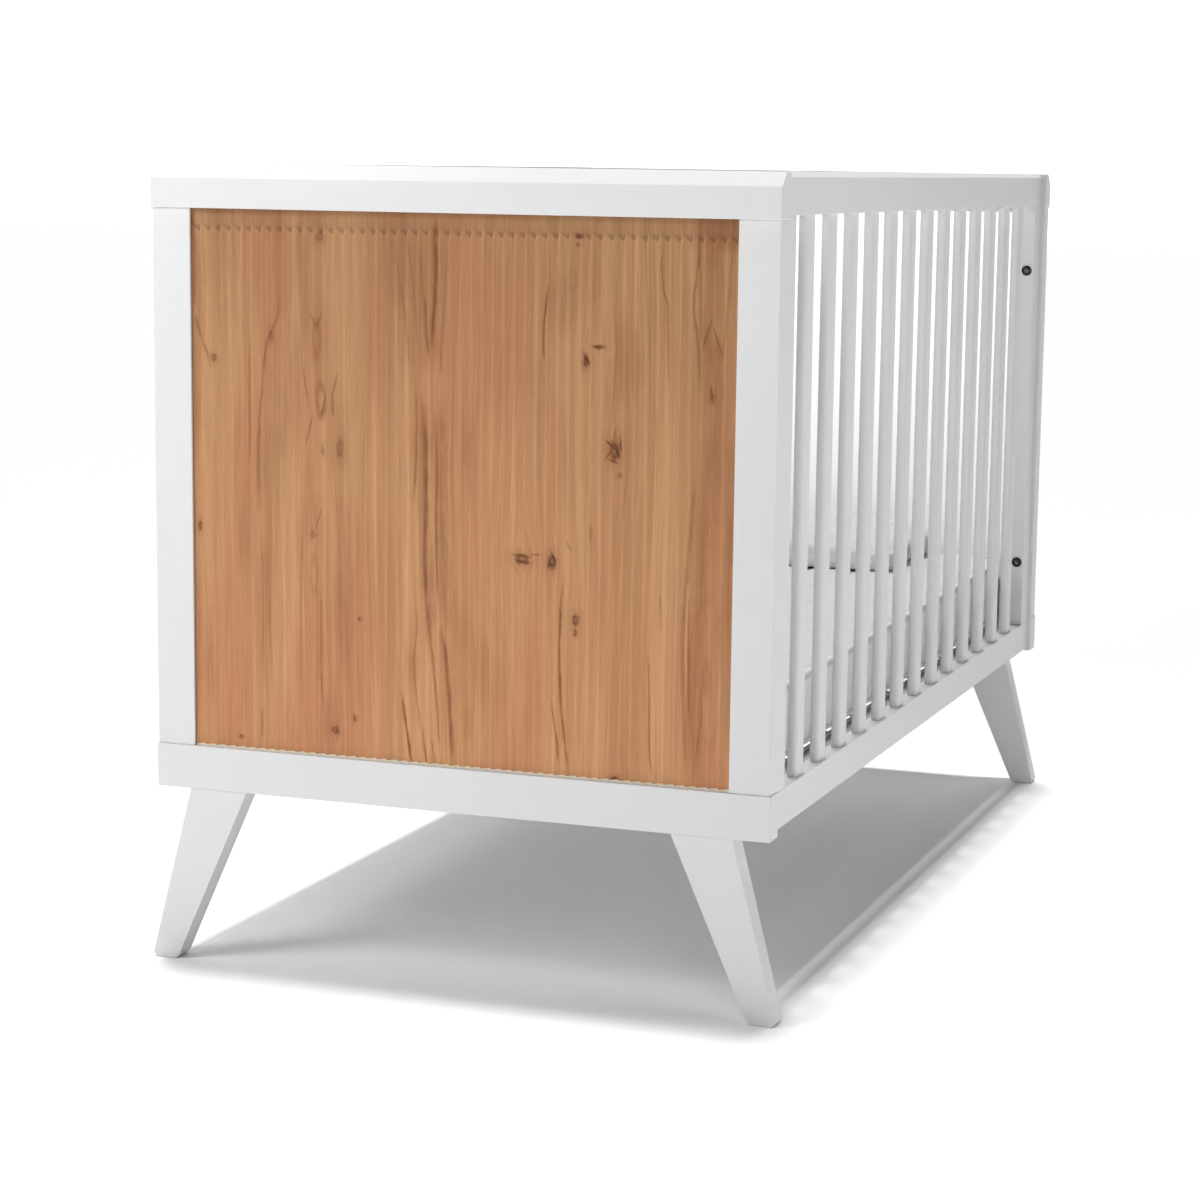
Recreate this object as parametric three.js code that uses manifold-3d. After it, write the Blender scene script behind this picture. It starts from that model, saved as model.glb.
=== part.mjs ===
// A baby crib: two framed end panels on splayed legs, two slatted sides bolted between them, and a mattress with a
// flat pillow on a wire base that hangs from the ends at a choice of heights.
// Millimetres. +X runs along the crib to its head end, -Y is the front, +Z is up. The origin is on the floor, centred.

import * as THREE from "three";
import { mergeVertices } from "three/addons/utils/BufferGeometryUtils.js";
import Module from "manifold-3d";

const wasm = await Module();
wasm.setup();

// Overall sizes. The body is everything above the legs.
const CRIB_LENGTH = 1400; // over the outer faces of the end stiles
const CRIB_WIDTH = 756; // over the edges of the end stiles
const LEG_HEIGHT = 210;
const BODY_HEIGHT = 730;
const JOINT_GAP = 0.3; // clearance all round a piece that sits in a socket or a hole

// End frames.
const END_THICKNESS = 29;
const END_STILE_WIDTH = 48;
const END_TOP_RAIL = { height: 51, proud: 3.5, overhang: 1, bevel: 16 };
const END_BOTTOM_RAIL = { height: 52, proud: 1.5, overhang: 1 };
const PANEL = { thickness: 14, recess: 4, tongue: 8 };

// Legs: tapered boards that lean outwards under each end. Insets are from the edge of the end stile.
const LEG = { topInset: 42, topWidth: 73, footInset: -11, footWidth: 34, footChamfer: 4 };

// Side frames, which sit just inside the edges of the end frames.
const SIDE_INSET = 5;
const SIDE_THICKNESS = 21;
const SIDE_TOP_RAIL = { height: 47, bevel: 6 };
const SIDE_BOTTOM_RAIL = { height: 42, lift: 4 };
const SIDE_STILE_WIDTH = 43;
const SLAT = { count: 13, width: 32, thickness: 12, corner: 5, tenon: 12 };

// The bolts that join a side frame to an end frame, and their heights above the bottom of the body.
const BOLT = { headRadius: 7.5, headHeight: 4, shankRadius: 3, socketRadius: 2.5, socketDepth: 2.5, bite: 22 };
const BOLT_HEIGHTS = [143, 586];
const ROUND_SIDES = 12;

// The mattress base: an angle-iron ring with a plate hanger at each corner, under a welded wire deck.
const RING = { top: 42, leg: 25, metal: 3, endGap: 1, sideGap: 4 };
const HANGER = { width: 18, top: 165, holeHeight: 146, holeRadius: 3.5 };
const DECK = { wire: 5, crossWires: 11, crossPitch: 130, longWires: 7, longPitch: 110 };

// Bedding.
const MATTRESS = { length: 1315, width: 685, height: 105, corner: 40, edge: 10, rest: 0.5 };
const PILLOW = { length: 300, width: 510, height: 58, corner: 45, edge: 16, headGap: 22, rest: 0.5 };

// Places worked out from those.
const BODY_BOTTOM = LEG_HEIGHT;
const BODY_TOP = LEG_HEIGHT + BODY_HEIGHT;
const INNER_LENGTH = CRIB_LENGTH - 2 * END_THICKNESS;
const SIDE_OUTER_Y = CRIB_WIDTH / 2 - SIDE_INSET;
const SIDE_MIDDLE_Y = SIDE_OUTER_Y - SIDE_THICKNESS / 2;
const SIDE_INNER_Y = SIDE_OUTER_Y - SIDE_THICKNESS;
const STILE_BOTTOM = BODY_BOTTOM + END_BOTTOM_RAIL.height;
const STILE_TOP = BODY_TOP - END_TOP_RAIL.height;
const SLAT_BOTTOM = BODY_BOTTOM + SIDE_BOTTOM_RAIL.lift + SIDE_BOTTOM_RAIL.height;
const SLAT_TOP = BODY_TOP - SIDE_TOP_RAIL.height;
const SLAT_ROOM = INNER_LENGTH - 2 * SIDE_STILE_WIDTH;
const SLAT_PITCH = (SLAT_ROOM + SLAT.width) / (SLAT.count + 1);
const DECK_BOTTOM = BODY_BOTTOM + RING.top;
const DECK_TOP = DECK_BOTTOM + DECK.wire;
const MATTRESS_BOTTOM = DECK_TOP + MATTRESS.rest;
const MATTRESS_TOP = MATTRESS_BOTTOM + MATTRESS.height;
const RING_OUTER_X = INNER_LENGTH / 2 - RING.endGap;
const RING_OUTER_Y = SIDE_INNER_Y - RING.sideGap;

const MATERIALS = {
  paint: new THREE.MeshStandardMaterial({ color: 0xf1f1ef, roughness: 0.45, metalness: 0 }),
  oak: new THREE.MeshStandardMaterial({ color: 0xbd8a5e, roughness: 0.6, metalness: 0 }),
  bolt: new THREE.MeshStandardMaterial({ color: 0x5a5b5d, roughness: 0.35, metalness: 1 }),
  steel: new THREE.MeshStandardMaterial({ color: 0x8f9295, roughness: 0.5, metalness: 1 }),
  ticking: new THREE.MeshStandardMaterial({ color: 0xe8e9ea, roughness: 0.9, metalness: 0 }),
};

// ---- Solids ----

function solidFrom(geometry) {
  const bare = geometry.clone();
  bare.deleteAttribute("normal");
  bare.deleteAttribute("uv");
  const merged = mergeVertices(bare);
  const vertProperties = merged.attributes.position.array;
  const triVerts = new Uint32Array(merged.index.array);
  return new wasm.Manifold(new wasm.Mesh({ numProp: 3, vertProperties, triVerts }));
}

function geometryFrom(solid) {
  const mesh = solid.getMesh();
  const geometry = new THREE.BufferGeometry();
  geometry.setAttribute("position", new THREE.BufferAttribute(mesh.vertProperties, 3));
  geometry.setIndex(new THREE.BufferAttribute(mesh.triVerts, 1));
  geometry.computeVertexNormals();
  return geometry;
}

function cut(base, tools) {
  const solid = tools.reduce((left, tool) => left.subtract(solidFrom(tool)), solidFrom(base));
  return geometryFrom(solid);
}

function join(pieces) {
  const [first, ...others] = pieces.map(solidFrom);
  return geometryFrom(others.reduce((all, piece) => all.add(piece), first));
}

// A box between two opposite corners.
function block([x0, y0, z0], [x1, y1, z1]) {
  const box = new THREE.BoxGeometry(x1 - x0, y1 - y0, z1 - z0);
  return box.translate((x0 + x1) / 2, (y0 + y1) / 2, (z0 + z1) / 2);
}

// A prism along X with its outline in Y and Z, from x = from to x = to.
function prismAlongX(points, from, to) {
  const shape = new THREE.Shape(points.map(([y, z]) => new THREE.Vector2(y, z)));
  const prism = new THREE.ExtrudeGeometry(shape, { depth: to - from, bevelEnabled: false });
  const yzx = new THREE.Matrix4().makeBasis(
    new THREE.Vector3(0, 1, 0),
    new THREE.Vector3(0, 0, 1),
    new THREE.Vector3(1, 0, 0),
  );
  return prism.applyMatrix4(yzx).translate(from, 0, 0);
}

// A rod along X, for holes.
function rodAlongX(radius, from, to, y, z) {
  const rod = new THREE.CylinderGeometry(radius, radius, to - from, ROUND_SIDES);
  return rod.rotateZ(Math.PI / 2).translate((from + to) / 2, y, z);
}

function roundedRectangle(width, depth, radius) {
  const x = width / 2 - radius;
  const y = depth / 2 - radius;
  const quarter = Math.PI / 2;
  const shape = new THREE.Shape();
  shape.absarc(x, -y, radius, -quarter, 0);
  shape.absarc(x, y, radius, 0, quarter);
  shape.absarc(-x, y, radius, quarter, 2 * quarter);
  shape.absarc(-x, -y, radius, 2 * quarter, 3 * quarter);
  return shape;
}

// An upright bar with rounded corners, standing on z = 0.
function roundedBar(width, depth, radius, height) {
  const outline = roundedRectangle(width, depth, radius);
  return new THREE.ExtrudeGeometry(outline, { depth: height, bevelEnabled: false, curveSegments: 1 });
}

// A soft slab with rounded corners and eased edges, lying on z = 0.
function softSlab({ length, width, height, corner, edge }) {
  const outline = roundedRectangle(length - 2 * edge, width - 2 * edge, corner - edge);
  const slab = new THREE.ExtrudeGeometry(outline, {
    depth: height - 2 * edge,
    bevelSize: edge,
    bevelThickness: edge,
    bevelSegments: 2,
    curveSegments: 3,
  });
  return slab.translate(0, 0, edge);
}

// Evenly spaced places, centred on zero.
function row(count, pitch) {
  return Array.from({ length: count }, (_, i) => (i - (count - 1) / 2) * pitch);
}

function piece(name, geometry, material, position = [0, 0, 0]) {
  const mesh = new THREE.Mesh(geometry, material);
  mesh.name = name;
  mesh.position.set(...position);
  return mesh;
}

// ---- End frames, drawn as the foot end at -X, and turned half round for the head end ----

const END_FACE_X = -CRIB_LENGTH / 2;
const END_INNER_X = END_FACE_X + END_THICKNESS;
const PANEL_FACE_X = END_FACE_X + PANEL.recess;
const OPENING_Y = CRIB_WIDTH / 2 - END_STILE_WIDTH;

// The slot that holds the panel's edges: as wide as the panel with clearance, and a tongue deep all round.
function panelSlot() {
  const reach = PANEL.tongue + JOINT_GAP;
  return block(
    [PANEL_FACE_X - JOINT_GAP, -OPENING_Y - reach, STILE_BOTTOM - reach],
    [PANEL_FACE_X + PANEL.thickness + JOINT_GAP, OPENING_Y + reach, STILE_TOP + reach],
  );
}

function endPanel() {
  return block(
    [PANEL_FACE_X, -OPENING_Y - PANEL.tongue, STILE_BOTTOM - PANEL.tongue],
    [PANEL_FACE_X + PANEL.thickness, OPENING_Y + PANEL.tongue, STILE_TOP + PANEL.tongue],
  );
}

function endTopRail() {
  const outerX = END_FACE_X - END_TOP_RAIL.proud;
  const reach = CRIB_WIDTH / 2 + END_TOP_RAIL.overhang;
  const rail = block([outerX, -reach, STILE_TOP], [END_INNER_X, reach, BODY_TOP]);
  const bevelled = new THREE.Shape([
    new THREE.Vector2(outerX - 1, BODY_TOP + 1),
    new THREE.Vector2(outerX - 1, BODY_TOP - END_TOP_RAIL.bevel - 1),
    new THREE.Vector2(outerX + END_TOP_RAIL.bevel + 1, BODY_TOP + 1),
  ]);
  const waste = new THREE.ExtrudeGeometry(bevelled, { depth: 2 * reach + 2, bevelEnabled: false });
  waste.rotateX(Math.PI / 2).translate(0, reach + 1, 0);
  return cut(rail, [waste, panelSlot()]);
}

function endBottomRail() {
  const outerX = END_FACE_X - END_BOTTOM_RAIL.proud;
  const reach = CRIB_WIDTH / 2 + END_BOTTOM_RAIL.overhang;
  const rail = block([outerX, -reach, BODY_BOTTOM], [END_INNER_X, reach, STILE_BOTTOM]);
  return cut(rail, [panelSlot()]);
}

// side is -1 for the stile at -Y and 1 for the one at +Y.
function endStile(side) {
  const edges = [side * OPENING_Y, (side * CRIB_WIDTH) / 2];
  const stile = block(
    [END_FACE_X, Math.min(...edges), STILE_BOTTOM],
    [END_INNER_X, Math.max(...edges), STILE_TOP],
  );
  const holes = BOLT_HEIGHTS.map((height) =>
    rodAlongX(
      BOLT.shankRadius + JOINT_GAP,
      END_INNER_X - BOLT.bite - 1,
      END_INNER_X + 1,
      side * SIDE_MIDDLE_Y,
      BODY_BOTTOM + height,
    ),
  );
  return cut(stile, [panelSlot(), ...holes]);
}

function leg(side) {
  const y = (inset) => side * (CRIB_WIDTH / 2 - inset);
  const { topInset, topWidth, footInset, footWidth, footChamfer } = LEG;
  const outline = [
    [y(topInset), BODY_BOTTOM],
    [y(footInset), footChamfer],
    [y(footInset + footChamfer), 0],
    [y(footInset + footWidth - footChamfer), 0],
    [y(footInset + footWidth), footChamfer],
    [y(topInset + topWidth), BODY_BOTTOM],
  ];
  return prismAlongX(outline, END_FACE_X, END_INNER_X);
}

// turn is 1 for the foot end and -1 for the head end, where -Y in this drawing is the back.
function endFrame(end, turn) {
  const frame = new THREE.Group();
  frame.rotation.z = turn > 0 ? 0 : Math.PI;
  frame.add(piece(`${end}_top_rail`, endTopRail(), MATERIALS.paint));
  frame.add(piece(`${end}_bottom_rail`, endBottomRail(), MATERIALS.paint));
  frame.add(piece(`${end}_panel`, endPanel(), MATERIALS.oak));
  for (const side of [-1, 1]) {
    const place = side * turn < 0 ? "front" : "back";
    frame.add(piece(`${end}_${place}_stile`, endStile(side), MATERIALS.paint));
    frame.add(piece(`${end}_${place}_leg`, leg(side), MATERIALS.paint));
  }
  return frame;
}

// ---- Side frames, drawn as the front at -Y, and turned half round for the back ----

const slatPlaces = row(SLAT.count, SLAT_PITCH);

// The sockets for the slats' ends, one under each slat, with clearance round the slat and past its end.
function slatSockets(bottom, height) {
  const { width, thickness, corner } = SLAT;
  return slatPlaces.map((x) =>
    roundedBar(width + 2 * JOINT_GAP, thickness + 2 * JOINT_GAP, corner + JOINT_GAP, height)
      .translate(x, -SIDE_MIDDLE_Y, bottom),
  );
}

function sideTopRail() {
  const outline = [
    [-SIDE_OUTER_Y, SLAT_TOP],
    [-SIDE_INNER_Y, SLAT_TOP],
    [-SIDE_INNER_Y, BODY_TOP],
    [-SIDE_OUTER_Y + SIDE_TOP_RAIL.bevel, BODY_TOP],
    [-SIDE_OUTER_Y, BODY_TOP - SIDE_TOP_RAIL.bevel],
  ];
  const rail = prismAlongX(outline, -INNER_LENGTH / 2, INNER_LENGTH / 2);
  return cut(rail, slatSockets(SLAT_TOP - 1, SLAT.tenon + JOINT_GAP + 1));
}

function sideBottomRail() {
  const rail = block(
    [-INNER_LENGTH / 2, -SIDE_OUTER_Y, BODY_BOTTOM + SIDE_BOTTOM_RAIL.lift],
    [INNER_LENGTH / 2, -SIDE_INNER_Y, SLAT_BOTTOM],
  );
  const depth = SLAT.tenon + JOINT_GAP;
  return cut(rail, slatSockets(SLAT_BOTTOM - depth, depth + 1));
}

// end is -1 for the foot end and 1 for the head end of the drawing.
function sideStile(end) {
  const faces = [(end * INNER_LENGTH) / 2, end * (INNER_LENGTH / 2 - SIDE_STILE_WIDTH)];
  const [low, high] = [Math.min(...faces), Math.max(...faces)];
  const stile = block([low, -SIDE_OUTER_Y, SLAT_BOTTOM], [high, -SIDE_INNER_Y, SLAT_TOP]);
  const holes = BOLT_HEIGHTS.map((height) =>
    rodAlongX(BOLT.shankRadius + JOINT_GAP, low - 1, high + 1, -SIDE_MIDDLE_Y, BODY_BOTTOM + height),
  );
  return cut(stile, holes);
}

// A socket-headed bolt along +X, with the underside of its head at x = 0.
function bolt() {
  const { headRadius, headHeight, shankRadius, socketRadius, socketDepth, bite } = BOLT;
  const reach = SIDE_STILE_WIDTH + bite;
  const profile = [
    [0, -headHeight],
    [headRadius - 1, -headHeight],
    [headRadius, 1 - headHeight],
    [headRadius, 0],
    [shankRadius, 0],
    [shankRadius, reach],
    [0, reach],
  ].map(([radius, along]) => new THREE.Vector2(radius, along));
  const body = new THREE.LatheGeometry(profile, ROUND_SIDES).rotateZ(-Math.PI / 2);
  const socket = new THREE.CylinderGeometry(socketRadius, socketRadius, socketDepth + 1, 6);
  socket.rotateZ(Math.PI / 2).translate(-headHeight + (socketDepth - 1) / 2, 0, 0);
  return cut(body, [socket]);
}

// turn is 1 for the front and -1 for the back, where +X in this drawing is the foot end.
function sideFrame(side, turn) {
  const frame = new THREE.Group();
  frame.rotation.z = turn > 0 ? 0 : Math.PI;
  frame.add(piece(`${side}_top_rail`, sideTopRail(), MATERIALS.paint));
  frame.add(piece(`${side}_bottom_rail`, sideBottomRail(), MATERIALS.paint));

  const slatHeight = SLAT_TOP - SLAT_BOTTOM + 2 * SLAT.tenon;
  const slat = roundedBar(SLAT.width, SLAT.thickness, SLAT.corner, slatHeight);
  slatPlaces.forEach((x, i) => {
    const fromFoot = turn > 0 ? i + 1 : SLAT.count - i;
    const name = `${side}_slat_${String(fromFoot).padStart(2, "0")}`;
    frame.add(piece(name, slat, MATERIALS.paint, [x, -SIDE_MIDDLE_Y, SLAT_BOTTOM - SLAT.tenon]));
  });

  for (const end of [-1, 1]) {
    const place = end * turn < 0 ? "foot" : "head";
    frame.add(piece(`${side}_${place}_stile`, sideStile(end), MATERIALS.paint));
    BOLT_HEIGHTS.forEach((height, i) => {
      const headSeat = end * (INNER_LENGTH / 2 - SIDE_STILE_WIDTH - JOINT_GAP);
      const at = [headSeat, -SIDE_MIDDLE_Y, BODY_BOTTOM + height];
      const screw = piece(`${side}_${place}_bolt_${["lower", "upper"][i]}`, bolt(), MATERIALS.bolt, at);
      screw.rotation.z = end > 0 ? 0 : Math.PI;
      frame.add(screw);
    });
  }
  return frame;
}

// ---- Mattress base ----

function supportRing() {
  const { leg: legSize, metal } = RING;
  const top = DECK_BOTTOM;
  const outer = [RING_OUTER_X, RING_OUTER_Y];
  const shelf = outer.map((reach) => reach - legSize);
  const wall = outer.map((reach) => reach - metal);
  const frame = block([-outer[0], -outer[1], top - legSize], [outer[0], outer[1], top]);
  const opening = block([-shelf[0], -shelf[1], top - legSize - 1], [shelf[0], shelf[1], top + 1]);
  const underside = block([-wall[0], -wall[1], top - legSize - 1], [wall[0], wall[1], top - metal]);
  const angles = cut(frame, [opening, underside]);

  const plates = [];
  const holes = [];
  for (const x of [-1, 1]) {
    for (const y of [-1, 1]) {
      const xs = [x * outer[0], x * wall[0]];
      const ys = [y * outer[1], y * (outer[1] - HANGER.width)];
      plates.push(block(
        [Math.min(...xs), Math.min(...ys), top - legSize],
        [Math.max(...xs), Math.max(...ys), BODY_BOTTOM + HANGER.top],
      ));
      const middleY = (ys[0] + ys[1]) / 2;
      holes.push(rodAlongX(
        HANGER.holeRadius,
        Math.min(...xs) - 1,
        Math.max(...xs) + 1,
        middleY,
        BODY_BOTTOM + HANGER.holeHeight,
      ));
    }
  }
  return cut(join([angles, ...plates]), holes);
}

// The welded grid of wires, cut out of one flat sheet: what is left between the windows is the wires.
function wireDeck() {
  const { wire, crossWires, crossPitch, longWires, longPitch } = DECK;
  const reachX = ((crossWires - 1) * crossPitch + wire) / 2;
  const reachY = ((longWires - 1) * longPitch + wire) / 2;
  const windowX = (crossPitch - wire) / 2;
  const windowY = (longPitch - wire) / 2;
  const windows = row(crossWires - 1, crossPitch).flatMap((x) =>
    row(longWires - 1, longPitch).map((y) =>
      block([x - windowX, y - windowY, -1], [x + windowX, y + windowY, wire + 1]),
    ),
  );
  return cut(block([-reachX, -reachY, 0], [reachX, reachY, wire]), windows);
}

function mattressBase() {
  const base = new THREE.Group();
  base.add(piece("support_frame", supportRing(), MATERIALS.steel));
  base.add(piece("wire_deck", wireDeck(), MATERIALS.steel, [0, 0, DECK_BOTTOM]));
  return base;
}

// ---- Bedding ----

function bedding() {
  const bed = new THREE.Group();
  bed.add(piece("mattress", softSlab(MATTRESS), MATERIALS.ticking, [0, 0, MATTRESS_BOTTOM]));
  const pillow = softSlab(PILLOW);
  const pillowX = INNER_LENGTH / 2 - PILLOW.headGap - PILLOW.length / 2;
  bed.add(piece("pillow", pillow, MATERIALS.ticking, [pillowX, 0, MATTRESS_TOP + PILLOW.rest]));
  return bed;
}

const crib = new THREE.Group();
crib.add(endFrame("foot_end", 1));
crib.add(endFrame("head_end", -1));
crib.add(sideFrame("front", 1));
crib.add(sideFrame("back", -1));
crib.add(mattressBase());
crib.add(bedding());

export default crib;
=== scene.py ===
import math

import bmesh
import bpy
from mathutils import Matrix, Vector, noise
from mathutils.bvhtree import BVHTree


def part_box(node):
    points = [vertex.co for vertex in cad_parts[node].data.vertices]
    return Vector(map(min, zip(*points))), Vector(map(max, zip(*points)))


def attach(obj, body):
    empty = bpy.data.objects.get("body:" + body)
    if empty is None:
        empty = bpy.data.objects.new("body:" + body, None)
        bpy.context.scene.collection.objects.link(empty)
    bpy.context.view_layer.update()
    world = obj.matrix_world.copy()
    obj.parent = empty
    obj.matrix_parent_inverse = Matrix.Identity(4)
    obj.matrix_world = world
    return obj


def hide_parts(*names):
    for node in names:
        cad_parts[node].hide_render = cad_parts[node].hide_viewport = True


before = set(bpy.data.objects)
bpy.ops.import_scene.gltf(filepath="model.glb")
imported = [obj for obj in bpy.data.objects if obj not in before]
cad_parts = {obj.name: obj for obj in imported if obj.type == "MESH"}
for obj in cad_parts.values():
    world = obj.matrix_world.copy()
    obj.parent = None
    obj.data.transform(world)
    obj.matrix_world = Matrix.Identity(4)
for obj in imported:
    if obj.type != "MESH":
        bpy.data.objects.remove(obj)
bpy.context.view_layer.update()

# A baby crib: two framed end panels of fluted oak, two slatted sides, four splayed legs, a sprung
# base that can be set at several heights, a quilted mattress and a flat pillow.
# Metres, +Z up. +X is the head end and -Y the front side.

MM = 0.001

# ---------------------------------------------------------------- driving dimensions

EDGE_RADIUS = 1.1 * MM           # eased edges of the painted timber
METAL_EDGE_RADIUS = 0.6 * MM
SHARP_ANGLE = math.radians(20)   # CAD edges sharper than this are eased
SMOOTH_ANGLE = math.radians(38)

SLAT_CORNER = 5.0 * MM
SLAT_CORNER_STEPS = 7
SLAT_END_CHAMFER = 0.8 * MM

PANEL_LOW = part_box("foot_end_bottom_rail")[1].z
PANEL_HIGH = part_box("foot_end_top_rail")[0].z
PANEL_MARGIN = 1 * MM            # how far behind a stile's edge the flutes give way to a flat strip
FLUTE_COUNT = 51
FLUTE_DEPTH = 1.2 * MM
FLUTE_STEPS = 10
FLUTE_CREST = 0.80               # share of a flute that falls away before it rises to the next one
HEADER_HEIGHT = 21 * MM          # plain strip above the flutes
FLUTE_RUN_OUT = 5 * MM           # length over which a flute rises out at the strip
FLUTE_ROWS = 8                   # sections along a flute, and at its run-out
RUN_OUT_ROWS = 6
FOOT_HEIGHT = 2.8 * MM           # pale scalloped foot of the flutes, a painted highlight along the panel's bottom edge
FOOT_SCALLOP = 1.0 * MM
LINING_THICKNESS = 3.6 * MM      # white board behind the oak
LINING_GAP = 0.2 * MM
LINING_CORNER = 2 * MM
LINING_CHAMFER = 0.4 * MM

SCREW_SHANK_RADIUS = 3.0 * MM
SCREW_HEAD_RADIUS = 3.6 * MM
SCREW_EDGE = 0.8 * MM            # rounding between a head's side and its dome
SCREW_DOME = 0.7 * MM
BOLT_HEAD_HEIGHT = 4.0 * MM
HANGER_HEAD_HEIGHT = 3.6 * MM
HEX_SOCKET = 1.9 * MM            # half the distance across its flats
HEX_DEPTH = 2.4 * MM
CUP_RADIUS = 7.5 * MM
CUP_HEIGHT = 2.6 * MM
ROUND_STEPS = 48

HANGER_PLATE = 3 * MM            # thickness of the base frame's hangers
HANGER_HOLE_IN = 9 * MM          # from the hanger's outer side
HANGER_HOLE_DOWN = 19 * MM       # from its top

WIRE_RADIUS = 1.25 * MM
EDGE_WIRE_RADIUS = 2.5 * MM
EDGE_WIRE_BEND = 30 * MM
WIRE_SIDES = 8
CROSS_WIRES = 21
LONG_WIRES = 11

SMALLEST_CORNER = 4 * MM
MATTRESS_SHRINK = 4 * MM         # how much smaller than its CAD box it is before it is blown up
MATTRESS_CORNER = 38 * MM
MATTRESS_EDGE = 5 * MM
MATTRESS_VOXEL = 8 * MM
MATTRESS_PRESSURE = 3.0
MATTRESS_SWELL = 5 * MM          # the furthest that blowing up moves a point of it
QUILT_PITCH = 68.5 * MM          # one sewn channel of the mattress cover
QUILT_DEPTH = 4.5 * MM
QUILT_FADE = (22 * MM, 6 * MM)   # from the mattress top down: where its quilting ends, and where it is full
FOOT_FADE = (2 * MM, 12 * MM)    # from its bottom up: where its border starts, and where it is full
BORDER_REACH = 0.9               # share of the half-size past which a point belongs to the border
TUFT_PITCH = 96 * MM
TUFT_SHARE = 0.45                # depth of the tufts between the channels, as a share of a channel's
QUILT_LOOSENESS = 0.35           # how unevenly the top is sewn, and the border
BORDER_LOOSENESS = 0.3
DIAMOND = 36 * MM                # across one quilted diamond of the mattress border
DIAMOND_PUFF = 3.6 * MM
PIPING_RADIUS = 3.0 * MM
PIPING_STEP = 12 * MM
PIPING_DRIFT = 0.5 * MM          # how far it strays up and down
PIPING_BELOW_TOP = 11 * MM
PIPING_ABOVE_BOTTOM = 10 * MM
BORDER_TOP = 20 * MM             # from the mattress top down to where its border starts, which is painted whiter
BORDER_PAINTED_LIGHT = 1.35               # how much whiter the mattress border is painted than its top: painted light against the shade of the rails and slats on the mattress side

PILLOW_SHRINK = 7 * MM
PILLOW_CORNER = 40 * MM
PILLOW_EDGE = 14 * MM
PILLOW_VOXEL = 5 * MM
PILLOW_PRESSURE = 4.0
PILLOW_SWELL = 9 * MM
PILLOW_SEAM = 0.25               # height of its seam, as a share of its own height
PILLOW_SEAM_THICKNESS = 0.42     # thickness over the seam at the edge, as a share of the middle's
PILLOW_PULL = (5 * MM, 7 * MM)   # how far its sides are pulled in between the corners, along X and Y
PILLOW_CREASES = (1.6 * MM, 0.7 * MM)                # depth of its broad and its fine creases
FLATTENED = 8 * MM               # depth of a soft underside that its own weight flattens
SQUASHED = 28 * MM               # height up to which the pillow is squashed by that
CLOTH_FRAMES = 20
CLOTH_SETTINGS = {"quality": 6, "mass": 0.3, "tension_stiffness": 12, "compression_stiffness": 8,
                  "shear_stiffness": 5, "bending_stiffness": 0.4, "use_pressure": True}

# ---------------------------------------------------------------- mesh helpers


def link(name, mesh, material):
    """A new object of this mesh, smooth except at its sharp edges."""
    builder = bmesh.new()
    builder.from_mesh(mesh)
    bmesh.ops.recalc_face_normals(builder, faces=builder.faces)
    builder.to_mesh(mesh)
    builder.free()
    mesh.materials.append(material)
    piece = bpy.data.objects.new(name, mesh)
    bpy.context.scene.collection.objects.link(piece)
    mesh.shade_smooth()
    mesh.set_sharp_from_angle(angle=SMOOTH_ANGLE)
    return piece


def loft(name, rings, material, closed=False):
    """A solid through rings of equally many points: capped at both ends, or joined into a loop."""
    count = len(rings[0])
    points = [point for ring in rings for point in ring]
    faces = []
    spans = len(rings) if closed else len(rings) - 1
    for level in range(spans):
        low = level * count
        high = (level + 1) % len(rings) * count
        for step in range(count):
            after = (step + 1) % count
            faces.append((low + step, low + after, high + after, high + step))
    if not closed:
        faces.append(tuple(range(count)))
        faces.append(tuple(range(len(points) - count, len(points))))
    mesh = bpy.data.meshes.new(name)
    mesh.from_pydata(points, [], faces)
    return link(name, mesh, material)


def join(name, parts):
    """One piece made of several."""
    mesh = bpy.data.meshes.new(name)
    builder = bmesh.new()
    for part in parts:
        builder.from_mesh(part.data)
    builder.to_mesh(mesh)
    builder.free()
    material = parts[0].data.materials[0]
    for part in parts:
        bpy.data.objects.remove(part)
    return link(name, mesh, material)


def arc(centre, radius, start, end, steps):
    """Points on a circle's arc, from one angle to another in degrees, both ends included."""
    points = []
    for step in range(steps + 1):
        angle = math.radians(start + (end - start) * step / steps)
        points.append((centre[0] + radius * math.cos(angle), centre[1] + radius * math.sin(angle)))
    return points


def rounded_rectangle(width, depth, radius, steps):
    """The outline of a rectangle about the origin, with round corners."""
    across = width / 2 - radius
    along = depth / 2 - radius
    outline = []
    corners = [(across, along, 0), (-across, along, 90), (-across, -along, 180), (across, -along, 270)]
    for x, y, start in corners:
        outline += arc((x, y), radius, start, start + 90, steps)
    return outline


def tube(name, path, radius, material, closed=False, sides=12):
    """A round bar along a path of points."""
    rings = []
    count = len(path)
    reference = Vector((0, 0, 1))
    for index, point in enumerate(path):
        before = Vector(path[index - 1]) if closed or index else Vector(point)
        after = Vector(path[(index + 1) % count]) if closed or index < count - 1 else Vector(point)
        along = (after - before).normalized()
        if abs(along.dot(reference)) > 0.9:
            reference = Vector((1, 0, 0))
        side = along.cross(reference).normalized()
        up = side.cross(along)
        ring = []
        for step in range(sides):
            angle = math.tau * step / sides
            ring.append(Vector(point) + radius * (math.cos(angle) * side + math.sin(angle) * up))
        rings.append(ring)
    return loft(name, rings, material, closed)


def finish_piece(piece, body, slot, *nodes):
    """The piece rides on a body and stands for these CAD nodes, which it hides; the slot is not used."""
    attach(piece, body)
    if nodes:
        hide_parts(*nodes)
    return piece


# ---------------------------------------------------------------- shader helpers


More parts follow.
